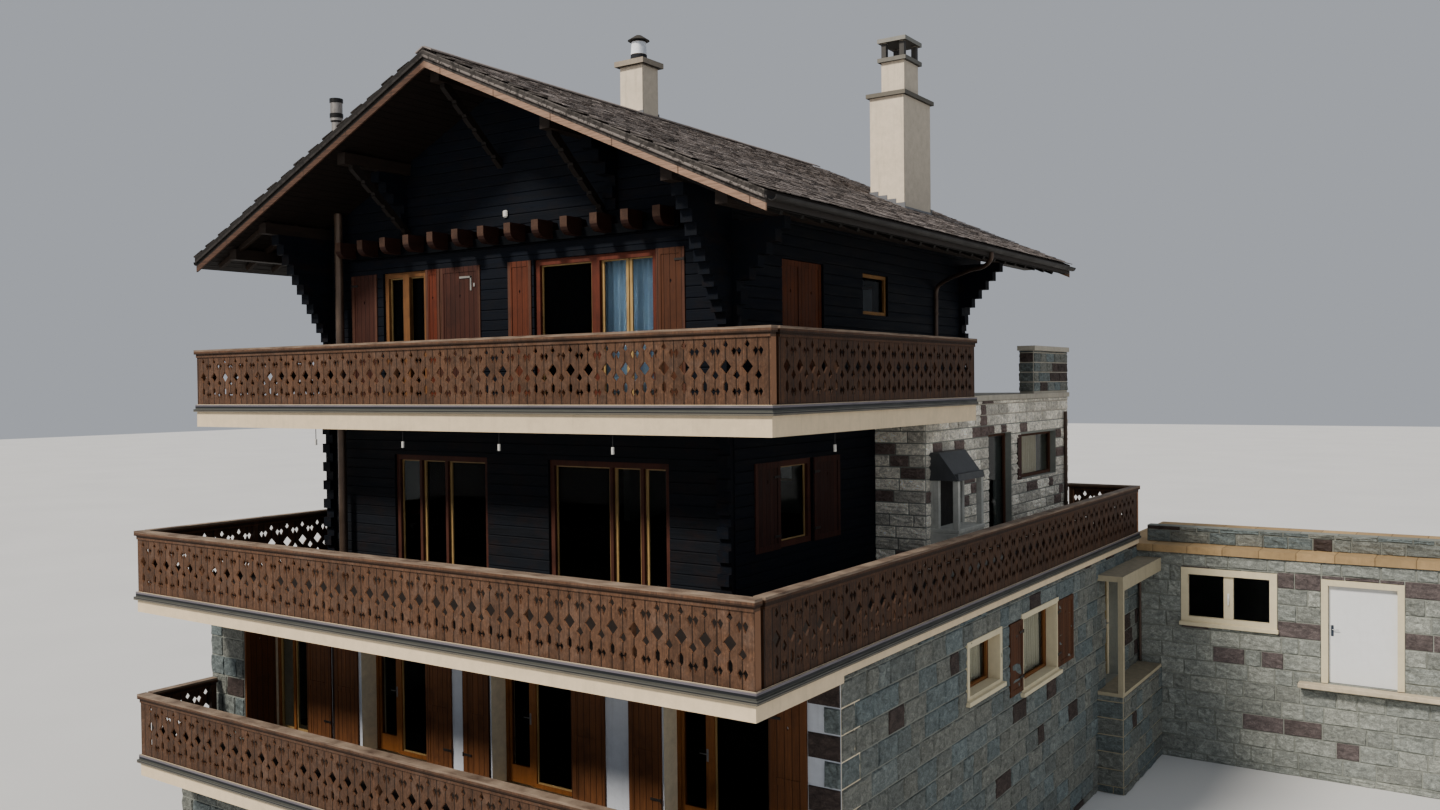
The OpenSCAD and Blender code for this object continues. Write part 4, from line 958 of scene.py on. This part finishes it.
class CHALET_OT_logs(bpy.types.Operator):
    """Lay the squared logs of the timber storeys on their walls"""
    bl_idname = "chalet.logs"
    bl_label = "Log courses"

    def execute(self, context):
        rng = random.Random(12)
        self.course = sizes().log_course
        high = self.course - 0.006
        master = block((-0.5, -0.016, -high / 2), (0.5, 0.012, high / 2))
        with_tone(bevel(master, 0.011, 2, lambda a, b:
                        max(a.y, b.y) < -0.01 and abs(a.x - b.x) > 0.5))
        finish, side_finish = tarred("tarred_logs", 0), tarred("tarred_logs_side", 1)
        across, gable = (-LOG_SIDE, LOG_SIDE), (UPPER, 12.95)
        deep, eaves = (LOG_FRONT, LOG_REAR), (UPPER, 10.81)
        for name, finish_of, *areas in (
                ("logs_front", finish,
                 ("front", LOG_FRONT, (*across, TERRACE, TERRACE_HEAD), TERRACE_LIGHTS),
                 ("front", LOG_FRONT, (*across, *gable), UPPER_LIGHTS)),
                ("logs_rear", finish, ("rear", LOG_REAR, (*across, *gable), UPPER_REAR)),
                ("logs_right", side_finish,
                 ("right", LOG_SIDE, (LOG_FRONT, WING_FRONT, TERRACE, TERRACE_HEAD),
                  [TERRACE_SIDE]),
                 ("right", LOG_SIDE, (*deep, *eaves), [UPPER_DOOR, UPPER_WINDOW])),
                ("logs_left", side_finish,
                 ("left", -LOG_SIDE, (*deep, TERRACE, TERRACE_HEAD), [TERRACE_SIDE]),
                 ("left", -LOG_SIDE, (*deep, *eaves), [UPPER_WINDOW]))):
            logs = [copy_of(master, place, rng.random())
                    for area in areas for place in self.courses(*area)]
            piece(name, logs, finish_of)
        drop(master)
        dress(finish, "log_fronts")
        dress(side_finish, "log_sides")
        dress(tarred("tarred_log_ends", 1, 0.6), "corner_logs")
        return {"FINISHED"}

    def courses(self, side, plane, area, holes):
        """Where each log of a wall goes, cut at its openings and under the roof's slopes."""
        a0, a1, z, head = area
        while z < head - 0.02:
            top = min(z + self.course, head)
            half = (RIDGE_Z - ROOF_T - 0.01 - top) / RISE
            span = (max(a0, -half), min(a1, half)) if SIDES[side][1] else (a0, a1)
            for b0, b1, l0, l1 in clear_of((*span, z, top), holes):
                if b1 - b0 > 0.03 and l1 - l0 > 0.02:
                    size = Matrix.Diagonal((b1 - b0 - 0.002, 1, (l1 - l0) / self.course, 1))
                    yield on_wall(side, plane, (b0 + b1) / 2, (l0 + l1) / 2) @ size
            z = top


# Roof

def slope_matrix(side, y, up, lift=0.0):
    """Sets a piece modelled flat, with +Y up the slope, on a roof slope at this height of it."""
    x = ROOF_X - up / SLOPE
    spot = Vector((x, y, RIDGE_Z - RISE * x)) + Vector((RISE, 0, 1)) / SLOPE * lift
    rows = Matrix(((0, -1 / SLOPE, RISE / SLOPE), (1, 0, 0), (0, RISE / SLOPE, 1 / SLOPE)))
    place = Matrix.Translation(spot) @ rows.to_4x4()
    if side < 0:
        place = Matrix.Translation((0, 2 * y, 0)) @ (Matrix.Rotation(math.pi, 4, "Z") @ place)
    return place


def slate_master(width, seed):
    """A roof slate: eased, its lower corners broken and its face slightly uneven."""
    made = bevel(block((-width / 2, 0, 0), (width / 2, 0.30, 0.013)), 0.022,
                 wanted=lambda a, b: max(a.y, b.y) < 0.01 and abs(a.z - b.z) > 0.005)
    open_faces(made)
    bpy.ops.transform.vertex_random(offset=0.006, uniform=0.3, seed=seed)
    free()
    return with_tone(made)


class CHALET_OT_roofing(bpy.types.Operator):
    """Hang the slates, lay the ridge, and board the underside of the roof"""
    bl_idname = "chalet.roofing"
    bl_label = "Roofing"

    def execute(self, context):
        rng = random.Random(5)
        s = sizes()
        finish = slating("roof_slates")
        masters = [slate_master(s.slate_width * w, seed) for seed, w in enumerate(SLATE_WIDTHS)]
        slope = ROOF_X * SLOPE
        rows = int(slope / s.slate_gauge)
        gauge = slope / rows
        for name, side in (("slates_right", 1), ("slates_left", -1)):
            slates = []
            for row in range(rows):
                y = ROOF_Y[0] - 0.05 - rng.uniform(0, 0.03) + (row % 2) * 0.11
                while y < ROOF_Y[1] + 0.02:
                    index = rng.randrange(len(masters))
                    width = s.slate_width * SLATE_WIDTHS[index]
                    tilt = Matrix.Rotation(math.radians(-3.6 + rng.uniform(-0.9, 0.9)), 4, "X")
                    up = row * gauge - (0.03 if row else 0.05) + rng.uniform(-0.012, 0.012)
                    twist = Matrix.Rotation(math.radians(rng.uniform(-1.2, 1.2)), 4, "Z")
                    spot = slope_matrix(side, y + width / 2, up, 0.022 + rng.uniform(0, 0.006))
                    if up + 0.28 < slope + 0.03:
                        slates.append(copy_of(masters[index], spot @ twist @ tilt, rng.random()))
                    y += width + 0.004
            piece(name, slates, finish)
        drop(*masters)
        # Painted shade: the underlay's edges under the slates are near black.
        dress(masonry("roof_underlay", shade("slate", 0.18), stain=0.2), "roof")
        self.ridge(rng)
        self.soffit()
        return {"FINISHED"}

    def ridge(self, rng):
        """Ridge slates laid in lengths over both slopes."""
        parts = []
        y = ROOF_Y[0] - 0.05
        while y < ROOF_Y[1] + 0.02:
            length = min(0.62, ROOF_Y[1] + 0.05 - y)
            half = length / 2 - 0.002
            for side in (-1, 1):
                made = plank((-half, -0.17, -0.012), (half, 0.012, 0.012))
                made.data.transform(slope_matrix(side, y + length / 2, ROOF_X * SLOPE,
                                                 0.046 + rng.uniform(0, 0.006)))
                parts.append(made)
            y += length
        piece("ridge_capping", parts, masonry("ridge_stone", shade("slate", 1.35), stain=0.35))

    def soffit(self):
        """Boards along the underside, and rafters whose tails show under the eaves."""
        s = sizes()
        boards, rafters = [], []
        count = int(ROOF_X * SLOPE / s.soffit_board)
        width = ROOF_X * SLOPE / count
        board = plank((ROOF_Y[0] + 0.002, -width / 2 + 0.002, -0.012),
                      (ROOF_Y[1] - 0.002, width / 2 - 0.002, 0.004))
        rafter = plank((-0.04, 0.0, -0.085), (0.04, 1.62, 0.0), 0.006)
        for side in (-1, 1):
            for k in range(count):
                place = slope_matrix(side, 0, (k + 0.5) * width, -ROOF_T - 0.004)
                boards.append(copy_of(board, place @ Matrix.Diagonal((side, 1, 1, 1))))
            y = -0.15
            while y < 11.3:
                rafters.append(copy_of(rafter, slope_matrix(side, y, 0.19, -ROOF_T - 0.014)))
                y += s.rafter_pitch
        drop(board, rafter)
        # Painted shade: the soffit boards and rafter tails are near black, darker still right of x =
        # 3.
        look = {"dark": 0.5, "wear": 0.1}
        outward(piece("soffit_boards", boards,
                      timber("soffit_wood", "#150e0a", along=1, light=1.4,
                             spots=[("#070504", (0, 3.0, 7.0))], **look)))
        piece("rafter_tails", rafters,
              timber("rafter_wood", "#241a13", along=0, spots=[("#0d0a08", (0, 3.0, 7.0))], **look))


# Joinery

class CHALET_OT_joinery(bpy.types.Operator):
    """Fit the sashes, surrounds, sills, hinges and handles"""
    bl_idname = "chalet.joinery"
    bl_label = "Joinery"

    def execute(self, context):
        nose = bevel(block((-0.07, 0.66, 10.42), (0.07, 1.008, 10.69)), 0.15, 5,
                     lambda a, b: max(a.y, b.y) < 0.67 and max(a.z, b.z) < 10.5)
        ends = [copy_of(nose, Matrix.Translation((JOIST_PITCH * k, 0, 0))) for k in range(-6, 7)]
        drop(nose)
        # Painted highlight: the joist ends' front faces are lighter, as if lit.
        piece("joist_ends", ends, timber("joist_end_wood", "#241009", along=1, dark=0.5, light=1.8,
                                         spots=[("#3d2a20", (1, 0.6, 0.666))]))
        sashes = [ring(side, plane, (*span, *heights), width, 0.03)
                  for side, plane, heights, width, spans in SASHES for span in spans]
        piece("honey_sashes", sashes, timber("sash_wood", "#9f8253", light=1.3, dark=0.6,
                                             wear=0.15, rough=(0.35, 0.6)))
        self.surrounds()
        piece("wing_shutter", [plank((5.462, 10.03, 6.11), (5.492, 10.25, 7.02)),
                               plank((5.49, 10.05, 6.2), (5.497, 10.23, 6.28), 0.002),
                               plank((5.49, 10.05, 6.85), (5.497, 10.23, 6.93), 0.002)],
              timber("wing_shutter_wood", "#3b1f16", boards=[(1, 0.11, 10.03, 0.006)]))
        piece("door_step", [plank((10.15, 13.10, 1.87), (12.75, 13.346, 1.965), 0.012)],
              masonry("step_stone", "#c2b49a", stain=0.35, moss=0.4))
        self.straps("dark_straps", DARK_STRAPS, metal("dark_iron", "#2a2725", (0.4, 0.7), 0.6), ())
        self.straps("pale_straps", PALE_STRAPS, metal("pale_iron", "#8d8a84", (0.4, 0.7), 0.6),
                    SHUTTER_IRONS)
        self.handles()
        return {"FINISHED"}

    def surrounds(self):
        """Cream surrounds and sills of the side windows and the annex window."""
        wide, plane, parts = 0.075, GARDEN_RIGHT, []
        for hole in (SMALL_WINDOW, SIDE_WINDOW):
            a0, a1, z0, z1 = hole
            parts.append(ring("right", plane, (a0 - wide, a1 + wide, z0 - wide, z1 + wide), wide,
                              0.05, 0.034))
            parts.append(ring("right", plane, hole, 0.02, 0.20, 0.03))
            parts.append(plank((plane - 0.02, a0 - wide - 0.04, z0 - wide - 0.03),
                               (plane + 0.09, a1 + wide + 0.04, z0 - wide + 0.04), 0.006))
        a0, a1, z0, z1 = ANNEX_WINDOW
        middle = (a0 + a1) / 2
        parts += [ring("front", GARDEN_REAR, ANNEX_WINDOW, 0.14, 0.11, 0.02),
                  plank((middle - 0.095, 13.38, z0 + 0.14), (middle + 0.095, 13.45, z1 - 0.14)),
                  plank((a0 - 0.03, 13.27, z0 - 0.05), (a1 + 0.03, 13.36, z0 + 0.03), 0.006)]
        piece("cream_surrounds", parts, masonry("cream_surround", "cream", dark=0.85, light=1.08,
                                                stain=0.12, bump=0.002))

    def straps(self, name, places, finish, irons):
        """Strap hinges across the shutters' ends, with a pin at the wall, and loose irons."""
        parts = []
        for side, plane, levels, straps in places:
            for pin, tip in straps:
                for z in levels:
                    parts += [plank(on_side(side, plane, pin, -0.002, z - 0.018),
                                    on_side(side, plane, tip, 0.006, z + 0.018), 0.002),
                              rod(on_side(side, plane, pin, 0.006, z - 0.03),
                                  on_side(side, plane, pin, 0.006, z + 0.03), 0.009)]
        parts += [plank((a, 1.109, low), (b, 1.117, high), 0.002)
                  for (a, low), (b, high) in irons]
        piece(name, parts, finish)

    def handles(self):
        """Lever handles on the doors that open, and the annex window's handle."""
        steel = metal("handle_steel", "#8f9294", (0.25, 0.45), 0.9, dirt=0.2)
        piece("annex_handle_plate", [plank((10.715, 13.416, 2.92), (10.765, 13.427, 3.14), 0.003)],
              metal("plate_steel", "#3d4755", (0.35, 0.5), 0.6, dirt=0.2), body="annex_door")
        piece("annex_handle", [rod((10.74, 13.42, 3.06), (10.74, 13.37, 3.06), 0.009),
                               rod((10.735, 13.372, 3.06), (10.86, 13.372, 3.06), 0.008)],
              steel, body="annex_door")
        piece("entry_handle", [plank((6.724, 11.74, 2.93), (6.734, 11.78, 3.13), 0.003),
                               rod((6.73, 11.76, 3.06), (6.78, 11.76, 3.06), 0.009),
                               rod((6.778, 11.765, 3.06), (6.778, 11.64, 3.06), 0.008)],
              steel, body="entry_door")
        for name, x in (("left", -1.451), ("middle", 1.519), ("right", 4.749)):
            piece("garden_handle_" + name,
                  [plank((x - 0.015, 0.056, 3.03), (x + 0.015, 0.066, 3.20), 0.003),
                   rod((x, 0.06, 3.14), (x, 0.02, 3.14), 0.008),
                   rod((x + 0.005, 0.022, 3.14), (x - 0.10, 0.022, 3.14), 0.007)],
                  steel, body="garden_door_" + name)
        piece("annex_window_handle", [plank((8.785, 13.36, 3.44), (8.825, 13.384, 3.60), 0.005),
                                      plank((8.793, 13.335, 3.36), (8.817, 13.365, 3.52))],
              masonry("white_fittings", "#e6e6e2", dark=0.9, light=1.05, stain=0.05))


# Fireplace and curtains

class CHALET_OT_hearth(bpy.types.Operator):
    """Build the outdoor fireplace: base, bench, posts and a sheet metal hood"""
    bl_idname = "chalet.hearth"
    bl_label = "Outdoor fireplace"

    def execute(self, context):
        x0, x1, y0, y1, deck, shelf, lip = 5.464, 6.0, 5.76, 6.94, 4.802, 5.58, 6.42
        hood = block((x0, y0, lip), (x1, y1, 6.895))
        open_faces(hood, lambda centre, normal: normal.z < -0.9)
        bpy.ops.mesh.inset(thickness=0.02)
        bpy.ops.transform.translate(value=(0, 0, 0.12))
        open_edges(hood, lambda a, b: min(a.x, b.x) > x1 - 0.01 and min(a.z, b.z) > lip + 0.3)
        bpy.ops.transform.translate(value=(-0.36, 0, 0))
        bevel(hood, 0.004)
        body = [plank((x0, y0, deck), (x1 - 0.02, y1, shelf - 0.05), 0.01),
                plank((x0, y0, shelf - 0.05), (x1, y1, shelf + 0.02), 0.008),
                plank((x0, y1 + 0.002, deck), (x1 - 0.08, 8.34, 5.24), 0.01),
                plank((x0, y1 + 0.002, 5.24), (x1 - 0.05, 8.345, 5.30), 0.008)]
        for y in (y0 + 0.02, y1 - 0.11):
            body.append(plank((x1 - 0.12, y, shelf + 0.02), (x1 - 0.02, y + 0.09, lip), 0.006))
            body.append(plank((x0, y, shelf + 0.02), (x0 + 0.16, y + 0.09, lip), 0.006))
        back = plank((x0, y0 + 0.11, shelf + 0.02), (x0 + 0.05, y1 - 0.11, lip), 0.003)
        for name, parts, finish in (
                ("fireplace_hood", [hood], metal("hood_metal", "#3f4143", (0.5, 0.75), 0.2, 0.5)),
                ("fireplace_body", body, masonry("fireplace_stone", "#b4b4ac", stain=0.35,
                                                 moss=0.3)),
                ("fireplace_back", [back], masonry("fireplace_soot", "#262422", stain=0.5))):
            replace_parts(piece(name, parts, finish), "fireplace")
        return {"FINISHED"}


class CHALET_OT_curtains(bpy.types.Operator):
    """Hang the curtains behind the upper front window, the wing's and the two side windows"""
    bl_idname = "chalet.curtains"
    bl_label = "Curtains"

    def execute(self, context):
        steel = metal("curtain_rod_metal", "#8a8680", (0.3, 0.5), 0.7, dirt=0.2)
        for name, side, plane, wall, ends, heights, hue in CURTAINS:
            def at(along, depth, z):
                return on_side(side, depth, along, 0, z)

            (a0, a1), top = ends, heights[1]
            bar = [rod(at(a0 - 0.06, plane, top + 0.012), at(a1 + 0.06, plane, top + 0.012), 0.012)]
            for along in (a0 - 0.03, a1 + 0.03):
                bar.append(plank(at(along - 0.01, plane, top), at(along + 0.01, wall, top + 0.024),
                                 0.003))
            holder = piece("curtain_rod_" + name, bar, steel)
            self.hang("curtain_" + name, at, plane, ends, heights,
                      cotton(name + "_curtain_cotton", hue), holder)
        return {"FINISHED"}

    def hang(self, name, at, plane, ends, heights, finish, holder):
        """A sheet in folds that deepen towards its hem."""
        (a0, a1), (z0, z1) = ends, heights
        free()
        bpy.ops.mesh.primitive_grid_add(x_subdivisions=int((a1 - a0) / 0.012), y_subdivisions=10,
                                        size=1)
        made = bpy.context.object
        rows = {}
        for vertex in made.data.vertices:
            u, v = vertex.co.x + 0.5, vertex.co.y + 0.5
            swing = 0.026 + 0.012 * (1 - v)
            turn = 2 * math.pi * (a1 - a0) / 0.115 * (u + 0.006 * math.sin(9 * u))
            along, depth = a0 + (a1 - a0) * u, plane + swing * math.sin(turn)
            rows.setdefault(round(v, 3), []).append((along, depth))
            vertex.co = at(along, depth, z0 + (z1 - z0) * v)
        widths = [sum(math.dist(a, b) for a, b in zip(row, row[1:]))
                  for row in (sorted(points) for points in rows.values())]
        made.modifiers.new("weight", "SOLIDIFY").thickness = 0.002
        bpy.ops.object.modifier_apply(modifier="weight")
        outward(made).data.shade_smooth()
        piece(name, [made], finish)


# Small fittings

class CHALET_OT_fittings(bpy.types.Operator):
    """Hang the rain pipes and lamps and set the lead round the chimneys"""
    bl_idname = "chalet.fittings"
    bl_label = "Fittings"

    def execute(self, context):
        r = sizes().pipe / 2
        pipes = [bent_pipe([(6.15, 6.95, 10.38), (6.12, 6.98, 10.25), (5.5, 7.45, 10.12),
                            (4.75, 8.05, 9.99), (4.58, 8.18, 9.9), (4.56, 8.18, 9.6),
                            (4.56, 8.18, 8.4), (4.56, 8.18, 7.88)], r)]
        for x, y, low, high, radius in (
                (4.56, 8.18, 9.4, 9.43, r * 1.25), (4.56, 8.18, 8.4, 8.43, r * 1.25),
                (5.53, 12.95, 4.82, 7.42, r), (5.53, 12.95, 5.4, 5.43, r * 1.25),
                (5.53, 12.95, 6.8, 6.83, r * 1.25), (7.03, 13.28, 2.0, 3.98, r * 0.8)):
            pipes.append(rod((x, y, low), (x, y, high), radius))
        piece("rain_pipes", pipes, metal("rain_pipe_metal", "#4a3a30", (0.45, 0.7), 0.4))
        lamps, stems = [plank((0.07, 1.09, 10.86), (0.17, 1.136, 10.98), 0.02)], []
        for x, y in ((-3.09, -0.2), (-0.91, -0.2), (1.21, -0.2), (3.39, -0.2), (5.9, 1.6)):
            lamps.append(rod((x, y, 7.15), (x, y, 7.25), 0.022))
            stems.append(rod((x, y, 7.245), (x, y, 7.435), 0.007))
        piece("lamps", lamps, masonry("lamp_glass", "#cfcdc6", dark=0.95, light=1.03, stain=0.0))
        dark = metal("lamp_metal", "#1c1c1d", (0.4, 0.6), 0.5)
        piece("lamp_stems", stems, dark)
        piece("small_lamp", [plank((0.74, 1.06, 10.70), (0.82, 1.136, 10.78), 0.012)], dark)
        lead = []
        for x0, x1, y0, y1 in ((3.25, 3.97, 8.05, 9.30), (-0.40, 0.13, 4.79, 5.28)):
            bands = [(x0 - 0.012, x0 + 0.01, y0, y1), (x1 - 0.01, x1 + 0.012, y0, y1)]
            step = (x1 - x0 + 0.04) / 4
            for a in (x0 - 0.02 + k * step for k in range(4)):
                bands += [(a, a + step, y0 - 0.012, y0 + 0.01),
                          (a, a + step, y1 - 0.01, y1 + 0.012)]
            for a0, a1, b0, b1 in bands:
                low = RIDGE_Z - RISE * max(abs(a0), abs(a1)) - 0.02
                high = RIDGE_Z - RISE * min(abs(a0), abs(a1)) + 0.06
                lead.append(plank((a0, b0, low), (a1, b1, high), 0.002))
        piece("lead_skirts", lead, metal("lead_skirt", "#6f7175", (0.5, 0.75), 0.5, dirt=0.3))
        return {"FINISHED"}


# The frame's own nodes

class CHALET_OT_frame_finishes(bpy.types.Operator):
    """Give every node of the frame its finish"""
    bl_idname = "chalet.frame_finishes"
    bl_label = "Frame finishes"

    def execute(self, context):
        self.stone_nodes()
        self.rails()
        self.timber_nodes()
        dress(flashing_bands("flashing", (LOWER, TERRACE, UPPER)), "deck_flashings")
        dress(metal("gutter_metal", "#130f0c", (0.6, 0.8), 0.1), "gutters")
        dress(metal("flue_metal", "#8f8a85", (0.3, 0.5), 0.6, spots=FLUE_SPOTS), "stove_flue")
        dress(clear_glass("window_glass"), "window_glass", "garden_pane_left",
              "garden_pane_middle", "garden_pane_right")
        return {"FINISHED"}

    def stone_nodes(self):
        """Walls, piers, slabs, chimneys, copings, and the painted surrounds."""
        dress(masonry("mortar", "mortar", dark=0.75, light=1.15, stain=0.15),
              "base_walls", "corner_pier", "garden_side_walls", "garden_rear_wall",
              "door_surrounds", "wing_side_wall", "wing_rear_wall", "wing_end_walls",
              "annex_long_walls", "annex_side_walls")
        # The spot at x = -2.70 to -2.61 is painted shadow from a shutter on the pier.
        dress(masonry("pale_render", "render", dark=0.85, light=1.1, stain=0.2, moss=0.3,
                      returns="#e4d6b8", spots=[("#2e211a", (0, -2.70, -2.61))]),
              "garden_front_piers", "garden_front_lintel")
        # Painted shade: the tops of the decks are dark, as seen through the balustrades.
        dress(masonry("fascia_paint", "fascia", dark=0.82, light=1.1, stain=0.14, top="#231d19",
                      bump=0.002), "deck_slabs", "garden_floor")
        dress(masonry("wing_coping", "#a8a294", stain=0.35, moss=0.5), "wing_roof")
        # Painted shade: the chimneys' side faces are darker.
        dress(masonry("chimney_render", "chimney", dark=0.8, light=1.15, moss=0.7, top="#3f3c37",
                      bump=0.006, returns="#b3aa9b", spots=CHIMNEY_SPOTS), "chimneys")
        dress(masonry("fireplace_render", "#a3a39c", stain=0.4, moss=0.4), "fireplace")
        dress(masonry("coping_stone", "coping", stain=0.35, moss=0.5, cells=0.5,
                      joints=[(0, 0.70, 7.3, 0.010)], spots=[("mortar", (2, 4.555, 5.0))]),
              "annex_roof")
        cream = {"dark": 0.85, "light": 1.08, "stain": 0.15, "bump": 0.002}
        dress(masonry("cream_paint", "cream", **cream), "door_frames")
        dress(masonry("cream_frames", "cream", **cream,
                      spots=[("#4a3022", (0, 5.2, 5.5)), ("#80532c", (0, 6.6, 6.79))]),
              "stone_frames")
        dress(masonry("porch_stone", shade("cream", 0.6), dark=0.8, light=1.08, stain=0.25,
                      top="#8d8470", bump=0.003), "porch")
        dress(masonry("white_door_paint", "door", dark=0.93, light=1.04, stain=0.06, bump=0.001,
                      rough=(0.35, 0.55)), "annex_door")

    def rails(self):
        """Balustrades: the sides' boards are painted darker and warmer as shade, with dimmer
        highlights on their cut edges; the lower front's are a little darker than the other fronts'.
        """
        for node, (axis, deck, start, end) in RAILS.items():
            spare = end - start
            spare -= math.floor((spare - 0.12) / (2 * RAIL_BOARD)) * 2 * RAIL_BOARD
            boards = [(axis, RAIL_BOARD, start + spare / 2 + RAIL_BOARD / 2, RAIL_JOINT)]
            if axis == 0:
                # The fronts' boards are lighter than the sides', and their cut edges carry the
                # strongest painted highlight.
                base = shade("fretwork", 0.95 if node == "lower_rail_front" else 1.2)
                look = {"grey": 0.1, "cut": 4.2}
            else:
                # Painted shade: the sides' boards are darker, and the painted highlight on their cut
                # edges is dim.
                base, look = shade("fretwork", 0.65, -0.12), {"cut": 0.6}
            dress(timber(node + "_wood", base, boards=boards, deck=deck, light=1.7, dark=0.35,
                         **look), node)

    def timber_nodes(self):
        """Verges, beams, window frames, shutters and wooden doors."""
        dress(verge_strip("verge_strip"), "verge_boards")
        dress(timber("beam_wood", "beam", along=1, light=1.8, wear=0.1), "purlins")
        dress(timber("brace_wood", shade("beam", 0.5), along=1, light=1.6, wear=0.1), "braces")
        # Painted shade: the joist beam's lower band is near black among the joist ends.
        dress(timber("joist_wood", "#1a0e09", along=1, light=1.9, dark=0.4, gloss=0.05,
                     spots=[("#05070a", (2, 10.3, 10.548))]), "joist_beam")
        dress(timber("larch_frames", "larch", light=1.35, dark=0.55, rough=(0.35, 0.6),
                     wear=0.15),
              "garden_frames", "garden_door_left", "garden_door_middle", "garden_door_right")
        dress(timber("red_frames", "#542618", light=1.4, dark=0.5, wear=0.15,
                     spots=TIMBER_FRAME_SPOTS), "timber_frames")
        dress(timber("lower_shutter_wood", "shutter_low", wear=0.15,
                     boards=[(0, 0.11, 0.0, 0.006), (1, 0.11, 0.03, 0.006)],
                     spots=[("#4d2b14", (0, 6.9, 7.05))]), "garden_shutters")
        dress(timber("upper_shutter_wood", "shutter", wear=0.15,
                     boards=[(0, 0.11, 0.02, 0.006), (1, 0.11, 0.0, 0.006)],
                     spots=SHUTTER_SPOTS), "timber_shutters")
        dress(timber("olive_door_wood", "#5d4f2c", boards=[(1, 0.12, 10.97, 0.006)]),
              "entry_door")


class CHALET_OT_stage(bpy.types.Operator):
    """Set the floor, the lights and the camera"""
    bl_idname = "chalet.stage"
    bl_label = "Stage"

    def execute(self, context):
        free()
        bpy.ops.mesh.primitive_plane_add(size=400, location=(0, 6, 0))
        floor = context.object
        floor.name = "studio_floor"
        f = Finish("studio_floor")
        faint = f.noise(6, 3, 0.5)
        floor.data.materials.append(f.done(
            f.ramp(faint, (0.3, (0.62, 0.62, 0.61)), (0.7, (0.66, 0.66, 0.65))),
            (0.8, 0.9, faint)))
        world = context.scene.world = bpy.data.worlds.new("studio")
        world.use_nodes = True
        back = world.node_tree.nodes["Background"].inputs
        back["Color"].default_value, back["Strength"].default_value = (0.86, 0.91, 1.0, 1), 0.45
        link = context.scene.collection.objects.link
        for name, aim, strength, soft, hue in (
                ("key", (0.36, 1.0, -1.0), 4.6, 10, (1.0, 0.93, 0.84)),
                ("fill", (-0.8, 0.45, -0.35), 0.2, 50, (0.9, 0.95, 1.0))):
            lamp = bpy.data.lights.new(name, "SUN")
            lamp.energy, lamp.angle, lamp.color = strength, math.radians(soft), hue
            light = bpy.data.objects.new(name, lamp)
            light.rotation_euler = Vector(aim).to_track_quat("-Z", "Y").to_euler()
            link(light)
        lens = bpy.data.cameras.new("photo_view")
        lens.sensor_width = SENSOR
        lens.lens = FOCAL / PHOTO_WIDTH * SENSOR
        lens.clip_end = 500
        camera = bpy.data.objects.new("photo_view", lens)
        yaw, pitch, roll = (math.radians(v) for v in EYE_TURN)
        ahead = Vector((-math.sin(yaw) * math.cos(pitch), math.cos(yaw) * math.cos(pitch),
                        math.sin(pitch)))
        right = Vector((math.cos(yaw), math.sin(yaw), 0))
        across = right * math.cos(roll) + right.cross(ahead) * math.sin(roll)
        camera.matrix_world = Matrix((across, across.cross(ahead), -ahead)).transposed().to_4x4()
        camera.location = EYE
        link(camera)
        context.scene.camera = camera
        return {"FINISHED"}


OPERATORS = (CHALET_OT_frame_finishes, CHALET_OT_stonework, CHALET_OT_logs, CHALET_OT_roofing,
             CHALET_OT_joinery, CHALET_OT_hearth, CHALET_OT_curtains, CHALET_OT_fittings,
             CHALET_OT_stage)


class CHALET_PT_panel(bpy.types.Panel):
    """The chalet's pieces, sizes and colours"""
    bl_idname = "CHALET_PT_panel"
    bl_label = "Alpine chalet"
    bl_space_type = "VIEW_3D"
    bl_region_type = "UI"
    bl_category = "Chalet"

    def draw(self, context):
        for operator in OPERATORS:
            self.layout.operator(operator.bl_idname)
        for group in (context.scene.chalet_sizes, context.scene.chalet_colours):
            box = self.layout.box()
            for name in group.__annotations__:
                box.prop(group, name)


CLASSES = (ChaletSizes, ChaletColours, *OPERATORS, CHALET_PT_panel)


def register():
    for item in CLASSES:
        bpy.utils.register_class(item)
    bpy.types.Scene.chalet_sizes = bpy.props.PointerProperty(type=ChaletSizes)
    bpy.types.Scene.chalet_colours = bpy.props.PointerProperty(type=ChaletColours)


def unregister():
    del bpy.types.Scene.chalet_colours
    del bpy.types.Scene.chalet_sizes
    for item in reversed(CLASSES):
        bpy.utils.unregister_class(item)


def main():
    register()
    for operator in OPERATORS:
        family, name = operator.bl_idname.split(".")
        getattr(getattr(bpy.ops, family), name)()


if __name__ == "__main__":
    main()
